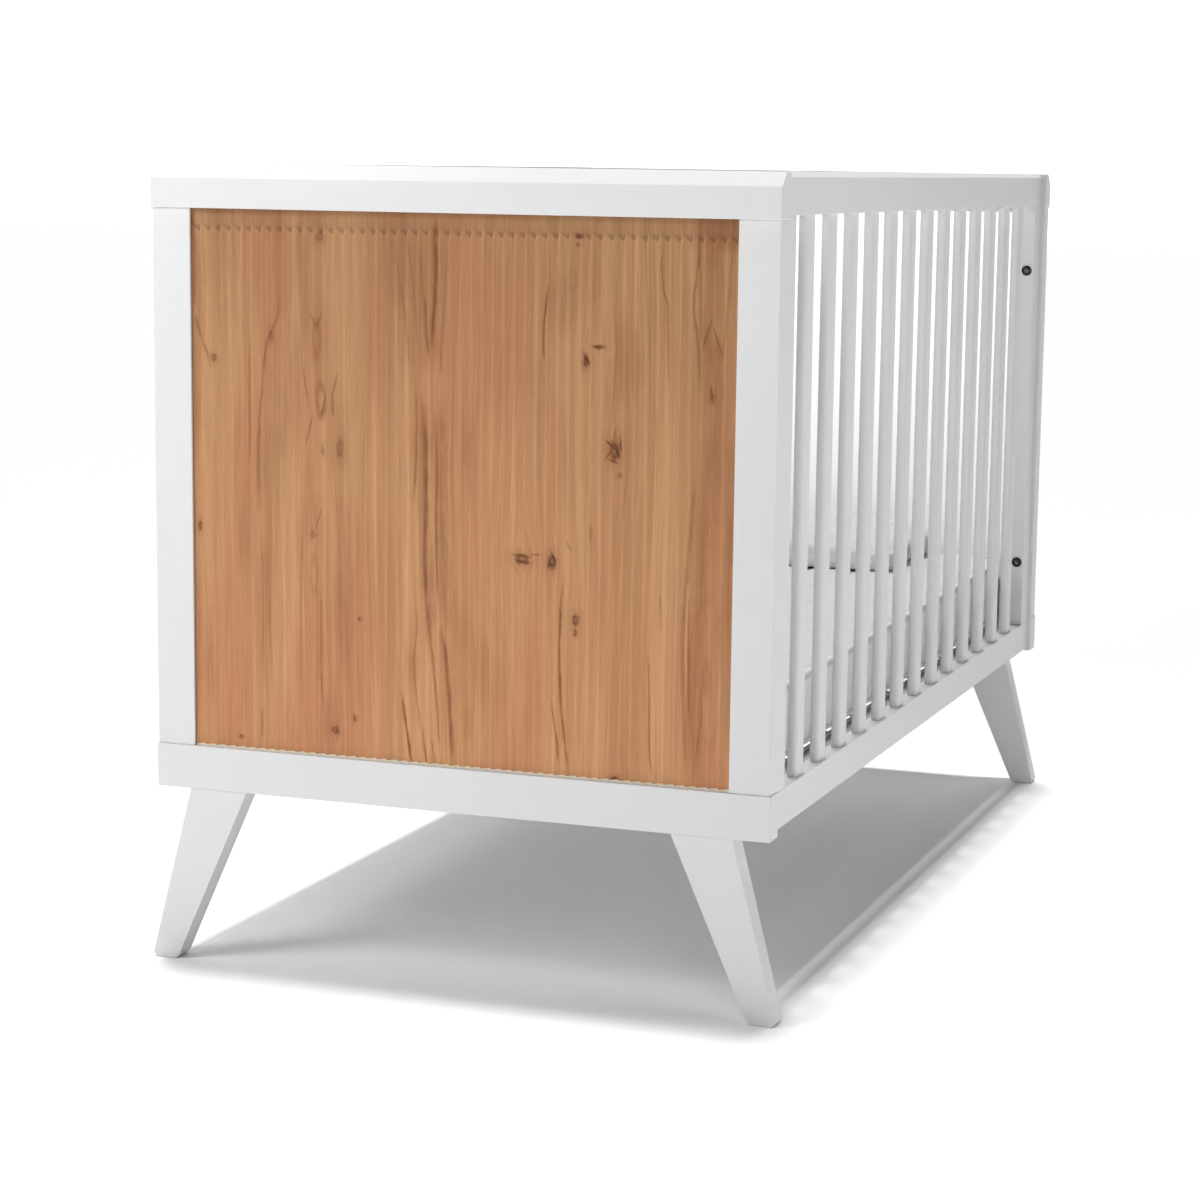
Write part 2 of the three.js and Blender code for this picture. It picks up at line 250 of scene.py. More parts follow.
class Shader:
    """A material's node tree, with one short call for each kind of node."""

    def __init__(self, name):
        self.material = bpy.data.materials.new(name)
        self.material.use_nodes = True
        self.tree = self.material.node_tree
        self.surface = self.tree.nodes["Principled BSDF"]
        place = self.tree.nodes.new("ShaderNodeTexCoord")
        self.place = place.outputs["Object"]

    def put(self, socket, value):
        """Links an output to a socket, or sets the socket to a plain value."""
        if isinstance(value, bpy.types.NodeSocket):
            self.tree.links.new(value, socket)
        else:
            socket.default_value = value

    def set(self, **values):
        """Sets sockets of the surface; an underscore stands for a space."""
        for name, value in values.items():
            self.put(self.surface.inputs[name.replace("_", " ")], value)

    def math(self, operation, first, second=0.0, third=0.0):
        node = self.tree.nodes.new("ShaderNodeMath")
        node.operation = operation
        for socket, value in zip(node.inputs, (first, second, third)):
            self.put(socket, value)
        return node.outputs[0]

    def vector(self, operation, first, second=(0, 0, 0), third=(0, 0, 0)):
        node = self.tree.nodes.new("ShaderNodeVectorMath")
        node.operation = operation
        self.put(node.inputs[0], first)
        self.put(node.inputs[1], second)
        if operation == "MULTIPLY_ADD":
            self.put(node.inputs[2], third)
        return node.outputs["Value" if operation in ("LENGTH", "DOT_PRODUCT") else "Vector"]

    def split(self, vector):
        node = self.tree.nodes.new("ShaderNodeSeparateXYZ")
        self.put(node.inputs[0], vector)
        return node.outputs[0], node.outputs[1], node.outputs[2]

    def combine(self, x, y, z):
        node = self.tree.nodes.new("ShaderNodeCombineXYZ")
        for socket, value in zip(node.inputs, (x, y, z)):
            self.put(socket, value)
        return node.outputs[0]

    def noise(self, place, scale=1.0, detail=2.0, roughness=0.5, distortion=0.0):
        node = self.tree.nodes.new("ShaderNodeTexNoise")
        self.put(node.inputs["Vector"], place)
        node.inputs["Scale"].default_value = scale
        node.inputs["Detail"].default_value = detail
        node.inputs["Roughness"].default_value = roughness
        node.inputs["Distortion"].default_value = distortion
        return node.outputs["Fac"]

    def ramp(self, value, low, high, start=0.0, end=1.0, smooth=True):
        """start below low, end above high, and a smooth or even change between."""
        node = self.tree.nodes.new("ShaderNodeMapRange")
        node.interpolation_type = "SMOOTHSTEP" if smooth else "LINEAR"
        # A smooth step keeps to its ends unclamped, and Cycles has no room for all of the oak's clamps.
        node.clamp = not smooth
        for socket, number in zip(node.inputs, (value, low, high, start, end)):
            self.put(socket, number)
        return node.outputs[0]

    def curve(self, value, points):
        """A smooth curve through points, each an input between 0 and 1 with its output."""
        node = self.tree.nodes.new("ShaderNodeFloatCurve")
        self.put(node.inputs["Value"], value)
        line = node.mapping.curves[0]
        line.points[0].location = points[0]
        line.points[1].location = points[-1]
        for point in points[1:-1]:
            line.points.new(*point)
        node.mapping.update()
        return node.outputs[0]

    def mix(self, factor, first, second):
        node = self.tree.nodes.new("ShaderNodeMix")
        node.data_type = "RGBA"
        self.put(node.inputs[0], factor)
        for socket, value in ((node.inputs[6], first), (node.inputs[7], second)):
            if isinstance(value, tuple) and len(value) == 3:
                value = (*value, 1.0)
            self.put(socket, value)
        return node.outputs[2]

    def times(self, first, second):
        return self.math("MULTIPLY", first, second)

    def plus(self, first, second):
        return self.math("ADD", first, second)

    def minus(self, first, second):
        return self.math("SUBTRACT", first, second)

    def gap(self, first, second):
        """How far apart two values are."""
        return self.math("ABSOLUTE", self.minus(first, second))

    def times_plus(self, value, factor, more):
        return self.math("MULTIPLY_ADD", value, factor, more)

    def grain(self, depth, across, height, waves, detail, roughness):
        """Noise with a number of waves per metre across a face and up it."""
        place = self.combine(depth, self.times(across, waves[0]), self.times(height, waves[1]))
        return self.noise(place, 1.0, detail, roughness)

    def metal(self, colour, metallic, texture, roughness, relief, strength):
        """A metal whose texture shows in its gloss and as a slight relief."""
        self.set(Base_Color=colour, Metallic=metallic)
        self.set(Roughness=self.ramp(texture, 0.3, 0.7, *roughness))
        self.set(Normal=self.bump(texture, relief, strength))
        return self.material

    def shade(self, colour, factor):
        """The colour times a brightness."""
        return self.vector("MULTIPLY", colour, self.combine(factor, factor, factor))

    def bump(self, height, distance, strength=1.0, under=None):
        node = self.tree.nodes.new("ShaderNodeBump")
        node.inputs["Strength"].default_value = strength
        node.inputs["Distance"].default_value = distance
        self.put(node.inputs["Height"], height)
        if under is not None:
            self.put(node.inputs["Normal"], under)
        return node.outputs[0]


def linear(red, green, blue):
    """A display colour of 0 to 255 as the linear numbers that shaders use."""
    channels = []
    for value in (red, green, blue):
        share = value / 255
        channels.append(share / 12.92 if share <= 0.04045 else ((share + 0.055) / 1.055) ** 2.4)
    return tuple(channels)


# ---------------------------------------------------------------- materials

# The scales of noise are in waves per metre, and colours are linear.

PAINT = (0.752, 0.755, 0.760)
PAINT_SHADOW = (0.735, 0.738, 0.744)
PAINT_GRAIN_ACROSS = 260.0
PAINT_GRAIN_ALONG = 7.0


def lacquer(name, grain_axis):
    """Sprayed satin lacquer: faint clouds, orange peel, and the timber's grain just telling through."""
    shader = Shader(name)
    stretch = [PAINT_GRAIN_ACROSS] * 3
    stretch[grain_axis] = PAINT_GRAIN_ALONG
    grain = shader.noise(shader.vector("MULTIPLY", shader.place, tuple(stretch)), 1.0, 3.0, 0.55, 0.15)
    clouds = shader.noise(shader.place, 5.0, 3.0, 0.5)
    peel = shader.noise(shader.place, 620.0, 2.0, 0.5)
    tone = shader.plus(shader.times(clouds, 0.7), shader.times(grain, 0.3))
    shader.set(Base_Color=shader.mix(shader.ramp(tone, 0.35, 0.65), PAINT_SHADOW, PAINT))
    shader.set(Roughness=shader.ramp(shader.plus(clouds, peel), 0.7, 1.3, 0.34, 0.44, False))
    fine = shader.bump(peel, 0.03 * MM, 0.5)
    shader.set(Normal=shader.bump(grain, 0.05 * MM, 0.5, fine), IOR=1.48)
    return shader.material


def painted_materials():
    """One lacquer for each direction that a timber's grain can run in."""
    return [lacquer(f"white_lacquer_{axis}", index) for index, axis in enumerate("xyz")]


# The oak's marks lie on the face as seen from outside the foot end: across is the distance to the middle,
# towards +Y, and height is the distance to the floor. All lengths are in mm.

# Knots: across, height, half-width, half-height, darkness.
KNOTS = [
    (-190, 634, 9, 14, 0.85),
    (-196, 607, 4, 4, 0.50),
    (-81, 507, 11, 8, 0.75),
    (-117, 506, 7, 10, 0.90),
    (-146, 442, 5, 9, 0.80),
    (-146, 428, 3, 5, 0.80),
    (-171, 747, 7, 3, 0.85),
    (-155, 730, 4, 8, 1.00),
    (-146, 867, 6, 4, 0.80),
    (-144, 858, 3, 3, 0.60),
    (-195, 264, 6, 5, 0.95),
    (-163, 540, 3, 12, 0.30),
    (-302, 697, 4, 6, 0.45),
    (303, 719, 5, 6, 0.65),
    (168, 860, 6, 8, 0.55),
    (229, 746, 4, 10, 0.55),
    (152, 668, 3, 12, 0.40),
    (143, 622, 5, 14, 0.50),
    (165, 617, 3, 6, 0.45),
    (177, 520, 5, 7, 0.40),
    (271, 276, 4, 3, 0.75),
    (150, 294, 6, 6, 0.80),
    (125, 309, 3, 5, 0.75),
    (119, 426, 2, 3, 0.75),
    (323, 523, 3, 8, 0.90),
]

# Cathedral figures: across, height, half-width, half-height, rings, strength.
FIGURES = [
    (167, 676, 18, 62, 2.0, 0.66),
    (172, 745, 10, 40, 1.5, 0.50),
    (-303, 860, 26, 150, 3.0, 0.42),
    (176, 470, 16, 80, 2.0, 0.34),
    (-300, 390, 22, 90, 2.5, 0.32),
    (-138, 820, 16, 40, 2.0, 0.24),
]

# Dark veins and cracks: half-width, darkness, and the line as (height, across) from the top down.
VEINS = [
    (2.8, 0.95, [(889, 26), (860, 26), (830, 25), (780, 27), (735, 31)]),
    (2.2, 0.75, [(800, 39), (770, 37), (750, 36), (728, 32)]),
    (3, 0.80, [(690, 42), (640, 38), (600, 37), (540, 37), (500, 38), (440, 34), (380, 30)]),
    (1.6, 0.60, [(700, 49), (650, 48), (610, 49), (560, 53)]),
    (2, 0.65, [(670, 26), (600, 23), (540, 24), (480, 22), (440, 20)]),
    (1.5, 0.55, [(460, 49), (420, 47), (380, 51), (330, 46), (300, 43)]),
    (1.6, 0.60, [(440, 34), (370, 26), (330, 22), (280, 19)]),
    (2.8, 0.75, [(430, 18), (385, 11), (350, 8), (310, 5), (262, 2)]),
    (1.8, 0.95, [(345, 66), (315, 62), (285, 57), (258, 53)]),
    (1.4, 0.65, [(310, 40), (285, 38), (255, 33)]),
    (1.4, 0.55, [(295, 29), (280, 27), (255, 23)]),
    (1.4, 0.40, [(860, 76), (820, 70), (770, 62), (710, 56)]),
    (1.3, 0.35, [(865, 60), (820, 54), (780, 50), (740, 47)]),
    (1.3, 0.40, [(860, 46), (820, 42), (790, 40), (760, 39)]),
    (1.4, 0.35, [(850, 12), (800, 14), (740, 18), (690, 20)]),
    (1.5, 0.95, [(818, -111), (790, -107), (759, -105), (728, -105)]),
    (1.2, 0.65, [(872, -244), (812, -244), (798, -248), (764, -250), (700, -251)]),
    (1.6, 0.80, [(495, -131), (469, -129), (426, -127), (350, -129), (258, -141)]),
    (1.3, 0.75, [(352, -117), (325, -121), (300, -125), (275, -127)]),
    (1.2, 0.60, [(420, -231), (368, -234), (304, -235), (258, -241)]),
    (1, 0.40, [(480, -245), (460, -246), (435, -246)]),
    (1.8, 0.60, [(800, 219), (765, 223), (740, 234), (690, 241), (600, 247), (540, 244)]),
    (1.3, 0.45, [(745, 257), (684, 258), (640, 258), (590, 259)]),
    (1.6, 0.55, [(315, 244), (295, 244), (275, 244)]),
    (1, 0.40, [(520, 244), (450, 242), (370, 242)]),
    (1.4, 0.50, [(460, 168), (400, 168), (351, 168), (310, 163)]),
    (1.2, 0.35, [(540, 190), (480, 193), (410, 194), (340, 194)]),
    (1.6, 0.60, [(885, -284), (833, -283), (800, -279), (756, -284), (700, -288)]),
    (2.6, 0.50, [(620, -284), (560, -280), (500, -276), (430, -272), (350, -275), (258, -278)]),
    (1.3, 0.55, [(480, -279), (440, -279), (390, -280), (330, -281)]),
    (1.2, 0.40, [(380, -294), (340, -295), (300, -290), (262, -288)]),
    (2, 0.55, [(770, 327), (750, 322), (730, 314), (712, 309)]),
    (2.4, 0.50, [(880, 329), (840, 327), (800, 327), (770, 328)]),
]

# Broad soft stains under the veins, in the same form.
STAINS = [
    (16, 0.50, [(895, 34), (840, 32), (780, 34), (735, 34), (700, 36)]),
    (30, 0.20, [(895, 56), (840, 50), (780, 44), (700, 40)]),
    (8, 0.55, [(700, 24), (640, 22), (560, 23), (480, 22), (400, 18)]),
    (8, 0.52, [(700, 46), (640, 44), (560, 44), (480, 38), (400, 34)]),
    (10, 0.24, [(440, 30), (400, 24), (340, 16), (262, 12)]),
    (10, 0.25, [(895, 226), (840, 224), (800, 222), (760, 224)]),
    (10, 0.28, [(895, -144), (860, -144), (820, -146), (780, -142)]),
    (14, 0.22, [(790, 172), (700, 166), (640, 158), (580, 150)]),
    (10, 0.18, [(560, 178), (500, 176), (440, 178), (360, 182)]),
    (12, 0.30, [(895, -284), (780, -286), (680, -296), (560, -290)]),
    (9, 0.50, [(620, -282), (520, -278), (420, -274), (258, -276)]),
    (7, 0.45, [(600, -317), (500, -314), (400, -318), (300, -320)]),
    (6, 0.40, [(890, 330), (780, 329), (700, 330), (600, 331)]),
    (34, 0.60, [(910, -302), (888, -302), (850, -302)]),
]

# Short dark strokes in and round the knots: across, height, half-length, half-width, lean, darkness.
STROKES = [
    (-185, 640, 9, 1.6, 0.9, 0.90),
    (-193, 632, 8, 1.8, 0.3, 0.95),
    (-188, 622, 8, 1.4, 1.2, 0.75),
    (-197, 640, 10, 1.2, 0.1, 0.75),
    (-182, 628, 9, 1.2, -0.6, 0.60),
    (-190, 652, 8, 1, -0.2, 0.55),
    (-80, 511, 12, 1.6, 1.5, 0.75),
    (-82, 504, 10, 1.6, 1.4, 0.85),
    (-98, 513, 8, 1.4, 1.6, 0.45),
    (-119, 510, 9, 1.8, 0.4, 0.85),
    (-114, 503, 6, 1.6, -0.4, 0.80),
    (-156, 733, 8, 2.2, 0.5, 0.95),
    (-168, 747, 7, 1.8, 1.5, 0.80),
    (-137, 525, 8, 1.2, 0.5, 0.40),
    (150, 690, 18, 1.6, -0.25, 0.50),
    (164, 668, 14, 1.6, -0.20, 0.60),
    (182, 640, 22, 1.3, -0.25, 0.45),
    (186, 690, 22, 1.3, 0.15, 0.40),
    (176, 765, 14, 1.4, 0.45, 0.40),
    (169, 765, 14, 1.4, -0.35, 0.40),
    (170, 540, 14, 1.4, -0.30, 0.40),
    (-307, 758, 20, 1.4, 0.35, 0.50),
    (-295, 765, 24, 1.4, -0.30, 0.45),
    (-301, 700, 12, 1.8, 0.15, 0.60),
]

# Edges between the boards that the face is made up of, from +Y to -Y, and how light each board is.
BOARD_EDGES = [205, 62, -66, -276]
BOARD_TONES = [0.985, 0.985, 1.02, 1.015, 0.985]
BOARD_SWAY = 12 * MM             # how far an edge wanders

OAK_LIGHT = linear(208, 158, 113)
OAK_MID = linear(187, 138, 95)
OAK_RED = linear(189, 131, 93)
OAK_STAIN = linear(146, 92, 60)
OAK_DARK = linear(122, 72, 44)
OAK_KNOT = linear(98, 56, 34)
# painted highlight along the flutes' foot
OAK_PAINTED_HIGHLIGHT = linear(255, 246, 226)
SMALLEST_EDDY = 4 * MM           # narrower knots do not bend the grain
LAZY_BEND = 18 * MM              # how far the grain wanders over the whole height
OAK_AT_FOOT = 1.10               # brightness of the wood at the bottom and at the top of the panel
OAK_AT_TOP = 0.765
HEADER_PAINTED_SHADOW = 0.14              # painted shadow of the top rail: how much darker the plain strip is, and its teeth on top of that
TOOTH_PAINTED_SHADOW = 0.20
# painted highlight beside the tips of the teeth
TIP_PAINTED_HIGHLIGHT = 0.18
SHADOW_TEETH_DEPTH = 7 * MM            # depth of the painted shadow's scallops where the flutes end at the top
TOOTH_TURN = 0.93                # where the painted highlight beside a tooth sits, as a share of a flute's width


def in_metres(lengths):
    """Lengths in mm turned into metres."""
    return [length * MM for length in lengths]


def spread(shader, place, across, up, half_width, half_height):
    """The place measured from a mark's middle, in units of the mark's half-sizes."""
    return shader.vector("MULTIPLY_ADD", place, (1 / half_width, 1 / half_height, 0.0),
                         (-across / half_width, -up / half_height, 0.0))


def knot_masks(shader, place):
    """Core and halo of the knots, and across bent so that grain drawn on it flows round them."""
    core = 0.0
    halo = 0.0
    bent = shader.split(place)[0]
    wobble = shader.noise(place, 190.0, 3.0, 0.65)
    for *lengths, darkness in KNOTS:
        across, up, half_width, half_height = in_metres(lengths)
        share = spread(shader, place, across, up, half_width, half_height)
        radius = shader.vector("LENGTH", share)
        ragged = shader.times_plus(wobble, 1.3, shader.minus(radius, 0.65))
        rim = shader.ramp(ragged, 0.35, 1.05, darkness, 0.0)
        heart = shader.ramp(ragged, -0.05, 0.50, 0.35, 1.0)
        core = shader.math("MAXIMUM", core, shader.times(rim, heart))
        halo = shader.math("MAXIMUM", halo, shader.ramp(radius, 0.5, 2.4, darkness, 0.0))
        if half_width >= SMALLEST_EDDY:
            # Grain lines part round a knot as a stream does round a stone, in a long flat eddy.
            long = shader.vector("MULTIPLY_ADD", share, (1.0, 0.42, 0.0), (0.0, 0.0, 0.8))
            squares = shader.vector("DOT_PRODUCT", long, long)
            aside = shader.split(share)[0]
            push = shader.math("DIVIDE", shader.times(aside, 1.3 * half_width), squares)
            bent = shader.minus(bent, push)
    return core, halo, bent


def stroke_mask(shader, place):
    """Short straight marks, each leaning its own way."""
    mask = 0.0
    for *lengths, lean, darkness in STROKES:
        across, up, half_length, half_width = in_metres(lengths)
        sine, cosine = math.sin(lean), math.cos(lean)
        away = shader.vector("SUBTRACT", place, (across, up, 0.0))
        along = shader.vector("DOT_PRODUCT", away, (sine / half_length, cosine / half_length, 0.0))
        aside = shader.vector("DOT_PRODUCT", away, (cosine / half_width, -sine / half_width, 0.0))
        radius = shader.vector("LENGTH", shader.combine(along, aside, 0.0))
        mask = shader.math("MAXIMUM", mask, shader.ramp(radius, 0.3, 1.3, darkness, 0.0))
    return mask


def figure_mask(shader, place):
    """Nested outlines where the saw has cut through the tops of growth rings."""
    mask = 0.0
    wobble = shader.noise(shader.vector("MULTIPLY", place, (60.0, 14.0, 0.0)), 1.0, 2.0, 0.5)
    for *lengths, rings, strength in FIGURES:
        share = spread(shader, place, *in_metres(lengths))
        radius = shader.times_plus(wobble, 0.5, shader.vector("LENGTH", share))
        wave = shader.math("PINGPONG", shader.times(radius, rings), 1.0)
        line = shader.ramp(wave, 0.55, 1.0)
        inside = shader.ramp(radius, 0.95, 1.35, strength, 0.0)
        mask = shader.math("MAXIMUM", mask, shader.times(line, inside))
    return mask


def line_mask(shader, across, height, lines, swing):
    """Marks that follow their own curves down the board, ragged and of changing width."""
    mask = 0.0
    span = PANEL_HIGH - PANEL_LOW
    ragged = shader.grain(0.0, across, height, (220.0, 45.0), 3.0, 0.6)
    strayed = shader.plus(across, shader.times_plus(ragged, 2 * swing, -swing))
    level = shader.times_plus(height, 1 / span, -PANEL_LOW / span)
    for half_width, darkness, line in lines:
        points = [((up * MM - PANEL_LOW) / span, 0.5 + aside * MM) for up, aside in reversed(line)]
        middle = shader.plus(shader.curve(level, points), -0.5)
        away = shader.gap(strayed, middle)
        dark = shader.ramp(away, 0.0, half_width * MM * 1.7, darkness, 0.0)
        top, bottom = in_metres((line[0][0], line[-1][0]))
        reach = (top - bottom) / 2
        from_middle = shader.gap(height, (top + bottom) / 2)
        fade = shader.ramp(from_middle, 0.6 * reach, 1.05 * reach, 1.0, 0.0)
        mask = shader.math("MAXIMUM", mask, shader.times(dark, fade))
    weight = shader.ramp(ragged, 0.25, 0.6, 0.55, 1.0)
    return shader.times(mask, weight)


def board_tones(shader, across, height):
    """How light the face is, in steps from board to board."""
    sway = shader.noise(shader.combine(0.0, 0.0, height), 9.0, 2.0, 0.5)
    swayed = shader.times_plus(sway, BOARD_SWAY, shader.minus(across, BOARD_SWAY / 2))
    tone = BOARD_TONES[0]
    for edge, before, after in zip(in_metres(BOARD_EDGES), BOARD_TONES, BOARD_TONES[1:]):
        step = shader.ramp(swayed, edge - 2 * MM, edge + 2 * MM, after - before, 0.0)
        tone = shader.plus(step, tone)
    return tone


def painted_light_masks(shader, across, height, opening):
    """Painted light over the flutes: painted shadow on the plain strip and its teeth, painted highlights
    beside the teeth, and the flutes' pale foot, a painted highlight.
    """
    flutes = shader.math("DIVIDE", shader.minus(opening / 2, across), opening / FLUTE_COUNT)
    turn = shader.math("FRACT", flutes)
    fall = shader.times(shader.ramp(turn, 0.0, FLUTE_CREST), shader.ramp(turn, FLUTE_CREST, 1.0, 1.0, 0.0))
    # Painted shadow of the top rail on the plain strip, scalloped where each flute ends.
    line = PANEL_HIGH - HEADER_HEIGHT
    edge = shader.times_plus(fall, -SHADOW_TEETH_DEPTH, line + 2 * MM)
    strip_shadow = shader.ramp(shader.minus(height, edge), -0.6 * MM, 0.8 * MM)
    low = shader.ramp(height, line - 1 * MM, line + 4 * MM, 1.0, 0.0)
    tooth_shadow = shader.times(strip_shadow, low)
    # Painted highlight beside the tip of each tooth.
    from_tip = shader.gap(turn, TOOTH_TURN)
    tip = shader.ramp(from_tip, 0.04, 0.14, 1.0, 0.0)
    from_line = shader.gap(height, line - 1 * MM)
    band = shader.ramp(from_line, 2 * MM, 7 * MM, 1.0, 0.0)
    # Pale foot along the flutes' bottom, a painted highlight scalloped with the flutes.
    rise = shader.times_plus(fall, FOOT_SCALLOP, PANEL_LOW + FOOT_HEIGHT - FOOT_SCALLOP)
    foot = shader.ramp(shader.minus(height, rise), -0.4 * MM, 0.4 * MM, 1.0, 0.0)
    return strip_shadow, tooth_shadow, shader.times(tip, band), foot


def oak(opening):
    """Oiled knotty oak with upright grain, for a face across Y, with a painted shadow under the top rail
    and painted highlights on the flutes.
    """
    shader = Shader("oiled_oak")
    depth, across, height = shader.split(shader.place)
    place = shader.combine(across, height, 0.0)
    core, halo, bent = knot_masks(shader, place)
    lazy = shader.grain(0.0, across, height, (8.0, 2.2), 2.0, 0.5)
    bent = shader.times_plus(lazy, LAZY_BEND, bent)
    streaks = shader.grain(depth, bent, height, (60.0, 1.6), 5.0, 0.62)
    fine = shader.grain(depth, bent, height, (340.0, 7.0), 4.0, 0.6)
    pores = shader.grain(depth, bent, height, (1300.0, 60.0), 2.0, 0.5)
    blush = shader.grain(depth, across, height, (14.0, 2.5), 2.0, 0.5)
    blotch = shader.grain(depth, bent, height, (22.0, 5.0), 3.0, 0.55)
    veins = line_mask(shader, across, height, VEINS, 2 * MM)
    stains = line_mask(shader, bent, height, STAINS, 5 * MM)
    figures = figure_mask(shader, place)
    strokes = stroke_mask(shader, place)

    colour = shader.mix(shader.ramp(streaks, 0.26, 0.74), OAK_MID, OAK_LIGHT)
    low = shader.ramp(height, 0.30, 0.62, 0.25, 0.0)
    red = shader.plus(shader.ramp(blush, 0.42, 0.66, 0.0, 0.7), low)
    colour = shader.mix(red, colour, OAK_RED)
    colour = shader.mix(shader.ramp(blotch, 0.50, 0.72, 0.0, 0.30), colour, OAK_STAIN)
    tone = board_tones(shader, across, height)
    tone = shader.times(tone, shader.ramp(fine, 0.25, 0.75, 0.84, 1.13, False))
    tone = shader.times(tone, shader.ramp(pores, 0.30, 0.46, 0.90, 1.0))
    tone = shader.times(tone, shader.ramp(height, PANEL_LOW, PANEL_HIGH, OAK_AT_FOOT, OAK_AT_TOP,
                                            False))
    colour = shader.shade(colour, tone)
    colour = shader.mix(stains, colour, OAK_STAIN)
    colour = shader.mix(figures, colour, OAK_STAIN)
    colour = shader.mix(shader.times(halo, 0.38), colour, OAK_STAIN)
    colour = shader.mix(veins, colour, OAK_DARK)
    colour = shader.mix(core, colour, OAK_KNOT)
    colour = shader.mix(strokes, colour, OAK_KNOT)
    # Painted light: the top rail's shadow on the plain strip and its teeth, highlights beside the teeth,
    # and a highlight along the flutes' foot.
    strip_shadow, tooth_shadow, tip_highlight, foot = painted_light_masks(shader, across, height, opening)
    painted_shadow_tone = shader.times_plus(strip_shadow, -HEADER_PAINTED_SHADOW, 1.0)
    painted_shadow_tone = shader.times_plus(tooth_shadow, -TOOTH_PAINTED_SHADOW, painted_shadow_tone)
    colour = shader.shade(colour, shader.times_plus(tip_highlight, TIP_PAINTED_HIGHLIGHT, painted_shadow_tone))
    colour = shader.mix(foot, colour, OAK_PAINTED_HIGHLIGHT)
    shader.set(Base_Color=colour)
    shader.set(Roughness=shader.ramp(shader.plus(fine, pores), 0.7, 1.3, 0.62, 0.48, False))

    relief = shader.times_plus(fine, 0.5, shader.times(pores, 0.5))
    shader.set(Normal=shader.bump(relief, 0.25 * MM, 0.7), Specular_IOR_Level=0.18)
    return shader.material


def dark_steel():
    """Black-nickel plated steel: small scratches and a cloudy finish."""
    shader = Shader("bolt_dark_steel")
    along = shader.vector("MULTIPLY", shader.place, (900.0, 2600.0, 2600.0))
    scratches = shader.noise(along, 1.0, 3.0, 0.6)
    clouds = shader.noise(shader.place, 300.0, 2.0, 0.5)
    colour = shader.mix(shader.ramp(clouds, 0.3, 0.7), (0.085, 0.086, 0.09), (0.19, 0.19, 0.195))
    return shader.metal(colour, 1.0, scratches, (0.22, 0.42), 0.02 * MM, 0.4)


def black_oxide():
    """Blackened steel of the cup washers."""
    shader = Shader("bolt_black_oxide")
    speckle = shader.noise(shader.place, 1400.0, 3.0, 0.6)
    worn = shader.noise(shader.place, 220.0, 2.0, 0.5)
    colour = shader.mix(shader.ramp(speckle, 0.35, 0.7), (0.018, 0.019, 0.021), (0.05, 0.052, 0.056))
    colour = shader.mix(shader.ramp(worn, 0.60, 0.75, 0.0, 0.35), colour, (0.20, 0.20, 0.21))
    return shader.metal(colour, 0.75, speckle, (0.36, 0.52), 0.03 * MM, 0.5)


def powder_coat():
    """Silver-grey powder coat of the base frame, with a fine pebbled skin."""
    shader = Shader("base_powder_coat")
    pebble = shader.noise(shader.place, 1500.0, 2.0, 0.5)
    clouds = shader.noise(shader.place, 14.0, 3.0, 0.55)
    flake = shader.noise(shader.place, 3200.0, 0.0)
    colour = shader.mix(shader.ramp(clouds, 0.35, 0.65), (0.44, 0.445, 0.455), (0.51, 0.515, 0.525))
    colour = shader.mix(shader.ramp(flake, 0.66, 0.72, 0.0, 0.5), colour, (0.75, 0.76, 0.78))
    return shader.metal(colour, 0.35, pebble, (0.38, 0.52), 0.08 * MM, 0.5)


def galvanised_wire():
    """Galvanised wire: a spangled grey with a fine grain."""
    shader = Shader("deck_galvanised_wire")
    spangle = shader.noise(shader.place, 420.0, 3.0, 0.6, 0.6)
    fine = shader.noise(shader.place, 1900.0, 2.0, 0.5)
    colour = shader.mix(shader.ramp(spangle, 0.35, 0.65), (0.42, 0.43, 0.45), (0.64, 0.65, 0.67))
    return shader.metal(colour, 0.9, fine, (0.32, 0.5), 0.03 * MM, 0.4)


def knit(name, light, shadow, pitch, border=None):
    """A fine knitted cloth with slubs; with a border height it is puckered, and below that painted whiter
    as painted light against the shade of the rails and slats.
    """
    shader = Shader(name)
    x, y, z = shader.split(shader.place)
    turns = math.tau / pitch
    slant = shader.plus(shader.times(shader.plus(x, z), turns), shader.times(y, turns * 0.5))
    rows = shader.math("SINE", slant)
    wales = shader.math("SINE", shader.times(shader.minus(y, shader.times(z, 0.4)), turns))
    loops = shader.times_plus(shader.times(rows, wales), 0.5, 0.5)
    slub = shader.noise(shader.place, 90.0, 3.0, 0.6)
    fuzz = shader.noise(shader.place, 2400.0, 2.0, 0.6)
    tone = shader.times_plus(slub, 0.6, shader.times(loops, 0.4))
    colour = shader.mix(shader.ramp(tone, 0.3, 0.7), shadow, light)
    if border is not None:
        # Painted light: below the border height the cloth is painted whiter against the shade of the rails
        # and slats.
        painted_border_lift = shader.ramp(z, border - 4 * MM, border + 4 * MM, BORDER_PAINTED_LIGHT, 1.0)
        colour = shader.shade(colour, painted_border_lift)
    shader.set(Base_Color=colour)
    shader.set(Roughness=shader.ramp(fuzz, 0.3, 0.7, 0.82, 0.95))
    shader.set(Sheen_Weight=0.25, Sheen_Roughness=0.5, Specular_IOR_Level=0.25)
    relief = shader.bump(loops, 0.22 * MM, 0.5)
    if border is not None:
        pucker = shader.noise(shader.vector("MULTIPLY", shader.place, (70.0, 22.0, 70.0)), 1.0, 2.0, 0.5)
        relief = shader.bump(pucker, 1.2 * MM, 0.55, relief)
    shader.set(Normal=shader.bump(fuzz, 0.05 * MM, 0.4, relief))
    return shader.material


PERCALE_THREAD = 1.1 * MM


